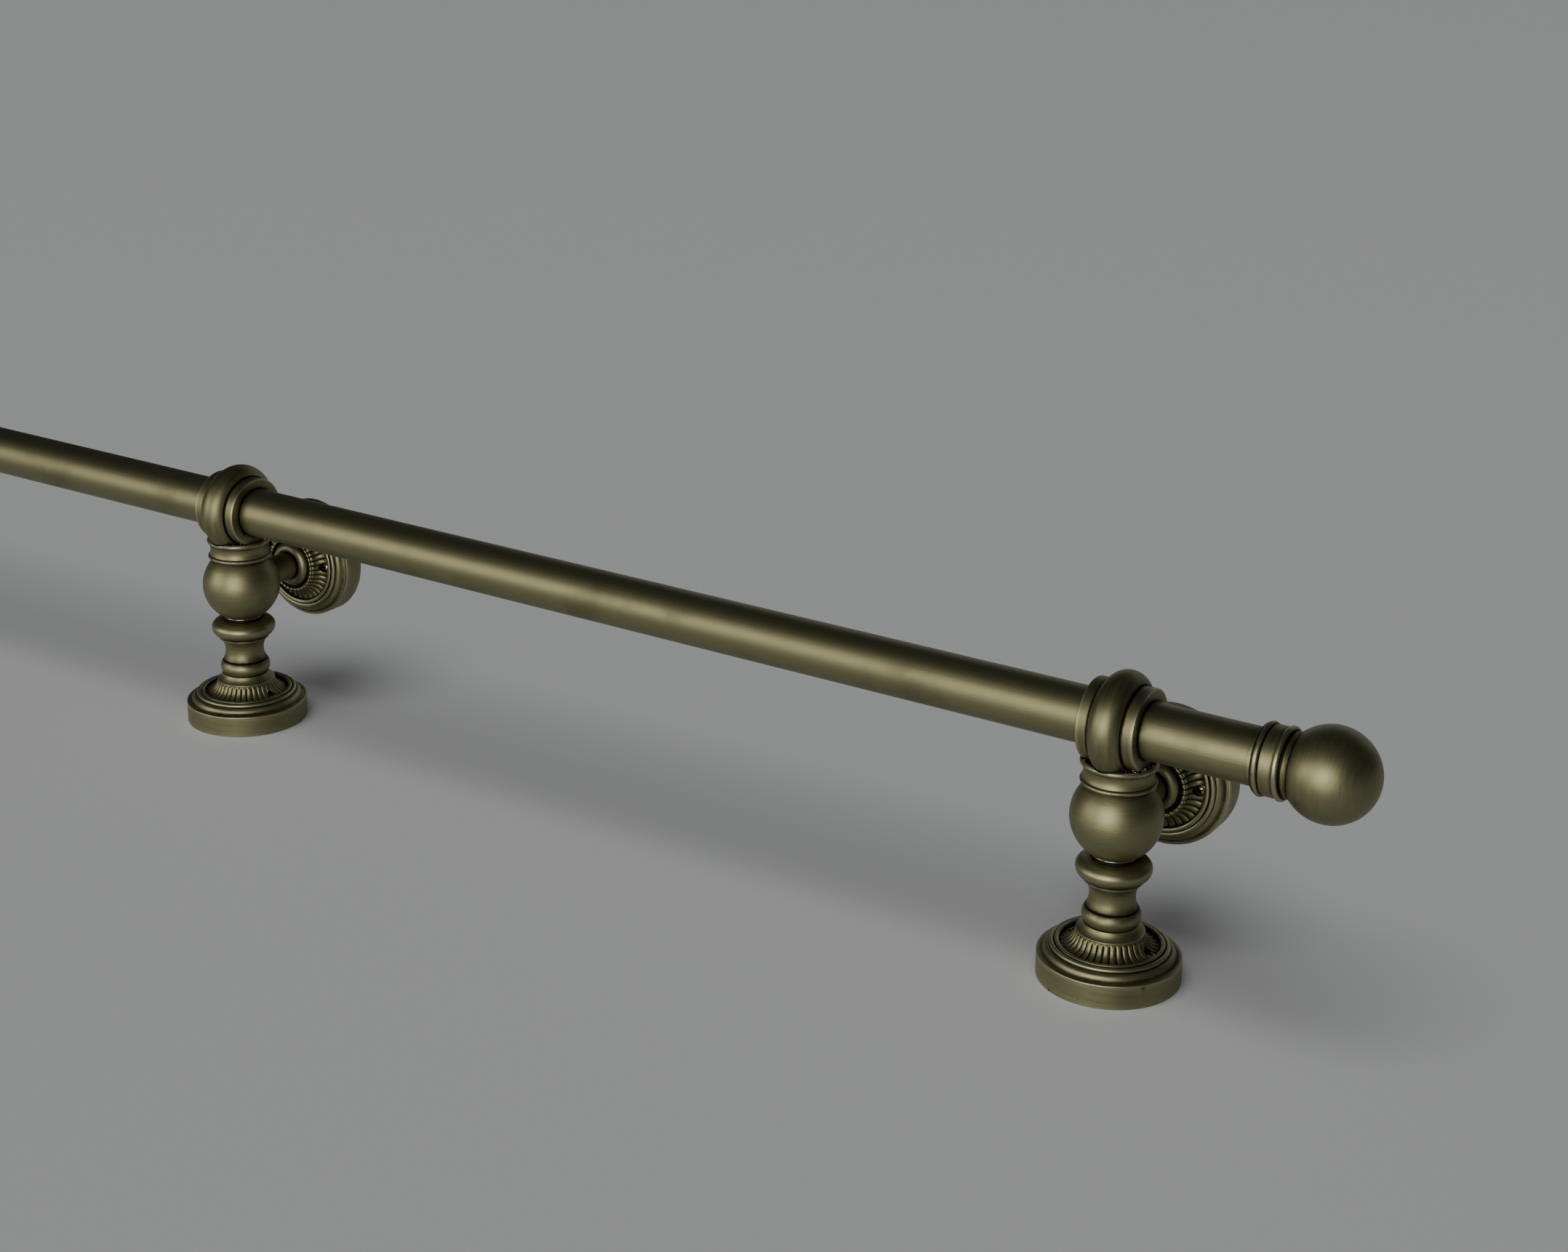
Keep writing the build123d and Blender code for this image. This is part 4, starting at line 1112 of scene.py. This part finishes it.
pool_outline = Outline(0, pool_floor).line(pool_foot, pool_floor).line(*pool_brim)
pool_outline.line(*pool_shore).line(0, pool_top)
pool = turned_mesh("braze_pool", pool_outline, braze_and_shade, place=(0, 0, collar_base),
                   steps=FINE_STEPS, soft=0.6)
seat = turned_mesh("seat", ring_outline(pool_gap, 0), braze_and_shade, ALONG_RAIL, at_ring, steps=FINE_STEPS)
pool = cut(pool, seat, cut_away, braze_and_shade)
seam_edge = (seam_radius + seam_width, 0)
seam = Outline(*seam_edge).put(arc_points((seam_radius, 0), seam_edge, math.tau))
seam = turned_mesh("solder_seam", seam, solder, place=(0, 0, knop_top + seam_rise), steps=96)
extras = {}
for number, (side, along) in enumerate(bracket_places.items()):
    scattered = run_tree("solder_drops", pool, drop_tree, lowest=(collar_base + drops_from) * MM,
                         density=drops_density, seed=FIRST_SEED + SEED_STEP * number, finish=solder)
    for name, mesh in (("braze_pool", pool), ("solder_seam", seam), ("solder_drops", scattered)):
        extras[f"{side}_{name}"] = moved(mesh, (along, 0, 0))
print("drops and seams:", {name: len(mesh.polygons) for name, mesh in extras.items()})

# %% [markdown]
# ## Putting the pieces in the frame
# Each bracket piece was made once, at the middle bracket. The other two brackets get shifted copies, so
# the object itself stays at the origin and its finish, which reads object coordinates, differs from
# bracket to bracket.
# %% Pieces ride on the frame
slots = {"floor_screws": "screw_brass", "wall_screws": "screw_brass", "rail_tube": "tube_brass",
         "arm_stud": "zinc_steel"}


def put_piece(label, mesh, slot, *nodes):
    """Make one named piece of the object and tie it to the frame."""
    piece = new_object(label, mesh)
    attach(piece, "root")
    if nodes:
        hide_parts(*nodes)


for name, mesh in single.items():
    put_piece("visual_" + name, mesh, slots.get(name, "antique_brass"), name)
for side, along in bracket_places.items():
    for name, mesh in shapes.items():
        node = f"{side}_{name}"
        put_piece("visual_" + node, moved(mesh, (along, 0, 0)), slots.get(name, "antique_brass"), node)
for name, mesh in extras.items():
    put_piece("visual_" + name, mesh, None)
print("pieces put in place:", len(single) + len(bracket_places) * len(shapes) + len(extras))

# %% [markdown]
# ## Floor and light
# The stage is plain: a pale floor, two large soft lights in front of the rail, as in a room lit from its
# windows, a dimmer one behind it and a dim grey surround. The floor has a broad sun of its own, by light
# linking: it stays evenly pale, and no light from above draws bright lines on top of the brass, which the
# real rail doesn't show.
# %% Floor and lights
FLOOR_REACH = 30
DAYLIGHT, COOL_LIGHT = (1.0, 0.985, 0.95), (0.93, 0.97, 1.0)
floor_mesh = bpy.data.meshes.new("floor")
corners = [(x * FLOOR_REACH, y * FLOOR_REACH, 0) for x, y in ((-1, -1), (1, -1), (1, 1), (-1, 1))]
floor_mesh.from_pydata(corners, [], [(0, 1, 2, 3)])
floor = new_object("floor", floor_mesh)
pale = bpy.data.materials.new("pale floor")
pale.use_nodes = True
shader = pale.node_tree.nodes["Principled BSDF"]
shader.inputs["Base Color"].default_value = (0.74, 0.745, 0.75, 1)
shader.inputs["Roughness"].default_value = 0.7
floor_mesh.materials.append(pale)


def put_light(name, kind, turn, power, reach):
    """Add a light that reaches the floor alone or everything but the floor."""
    box = new_object(name, bpy.data.lights.new(name, kind))
    box.matrix_world, box.data.energy = turn, power
    box.light_linking.receiver_collection = bpy.data.collections.new(name)
    box.light_linking.receiver_collection.objects.link(floor)
    box.light_linking.receiver_collection.collection_objects[0].light_linking.link_state = reach
    return box.data


def soft_light(name, place, target, size, power, tint):
    """Add a large area light that looks at a point and lights all but the floor."""
    turn = (Vector(target) - Vector(place)).to_track_quat("-Z", "Y").to_matrix().to_4x4()
    lamp = put_light(name, "AREA", Matrix.Translation(place) @ turn, power, "EXCLUDE")
    lamp.shape, lamp.size, lamp.size_y, lamp.color = "RECTANGLE", *size, tint


soft_light("front window", (1.15, -2.5, 0.85), (0.9, 0, 0.35), size=(1.9, 1.64), power=53.0, tint=DAYLIGHT)
soft_light("left window", (-1.7, -2.6, 0.9), (0.0, 0, 0.35), size=(2.0, 1.6), power=34.0, tint=DAYLIGHT)
soft_light("back light", (0.2, 3.0, 1.1), (0.2, 0, 0.2), size=(4.4, 1.8), power=9.0, tint=COOL_LIGHT)
sun = put_light("floor light", "SUN", Matrix.Rotation(math.radians(20), 4, "X"), 1.2, "INCLUDE")
sun.angle = math.radians(50)
world = bpy.data.worlds.new("surround")
bpy.context.scene.world = world
world.use_nodes = True
world.node_tree.nodes["Background"].inputs["Color"].default_value = (0.95, 1.0, 1.05, 1)
world.node_tree.nodes["Background"].inputs["Strength"].default_value = 0.035
print("lights:", [lamp.name for lamp in bpy.data.lights])

# %% [markdown]
# ## Camera
# The camera stands where the photograph was taken from: to the right of the rail, about a metre up and
# looking down a little. A shift of the lens keeps the upright edges nearly upright.
# %% Camera
CAMERA_PLACE = (1.86587, -1.82803, 1.06472)
CAMERA_LENS, CAMERA_SENSOR, CAMERA_SHIFT = 57.394, 36.0, -0.1235
CAMERA_TURN = (32.685, 16.086, 0.814)
around, up, roll = (math.radians(x) for x in CAMERA_TURN)
back = Vector((math.sin(around) * math.cos(up), -math.cos(around) * math.cos(up), math.sin(up)))
level = Vector((math.cos(around), math.sin(around), 0.0))
upright = back.cross(level)
right = math.cos(roll) * level + math.sin(roll) * upright
upward = math.cos(roll) * upright - math.sin(roll) * level
camera = new_object("camera", bpy.data.cameras.new("camera"))
camera.matrix_world = Matrix.Translation(CAMERA_PLACE) @ Matrix((right, upward, back)).transposed().to_4x4()
camera.data.lens, camera.data.sensor_width, camera.data.shift_y = CAMERA_LENS, CAMERA_SENSOR, CAMERA_SHIFT
bpy.context.scene.camera = camera
print("camera at", [round(x, 3) for x in camera.location])
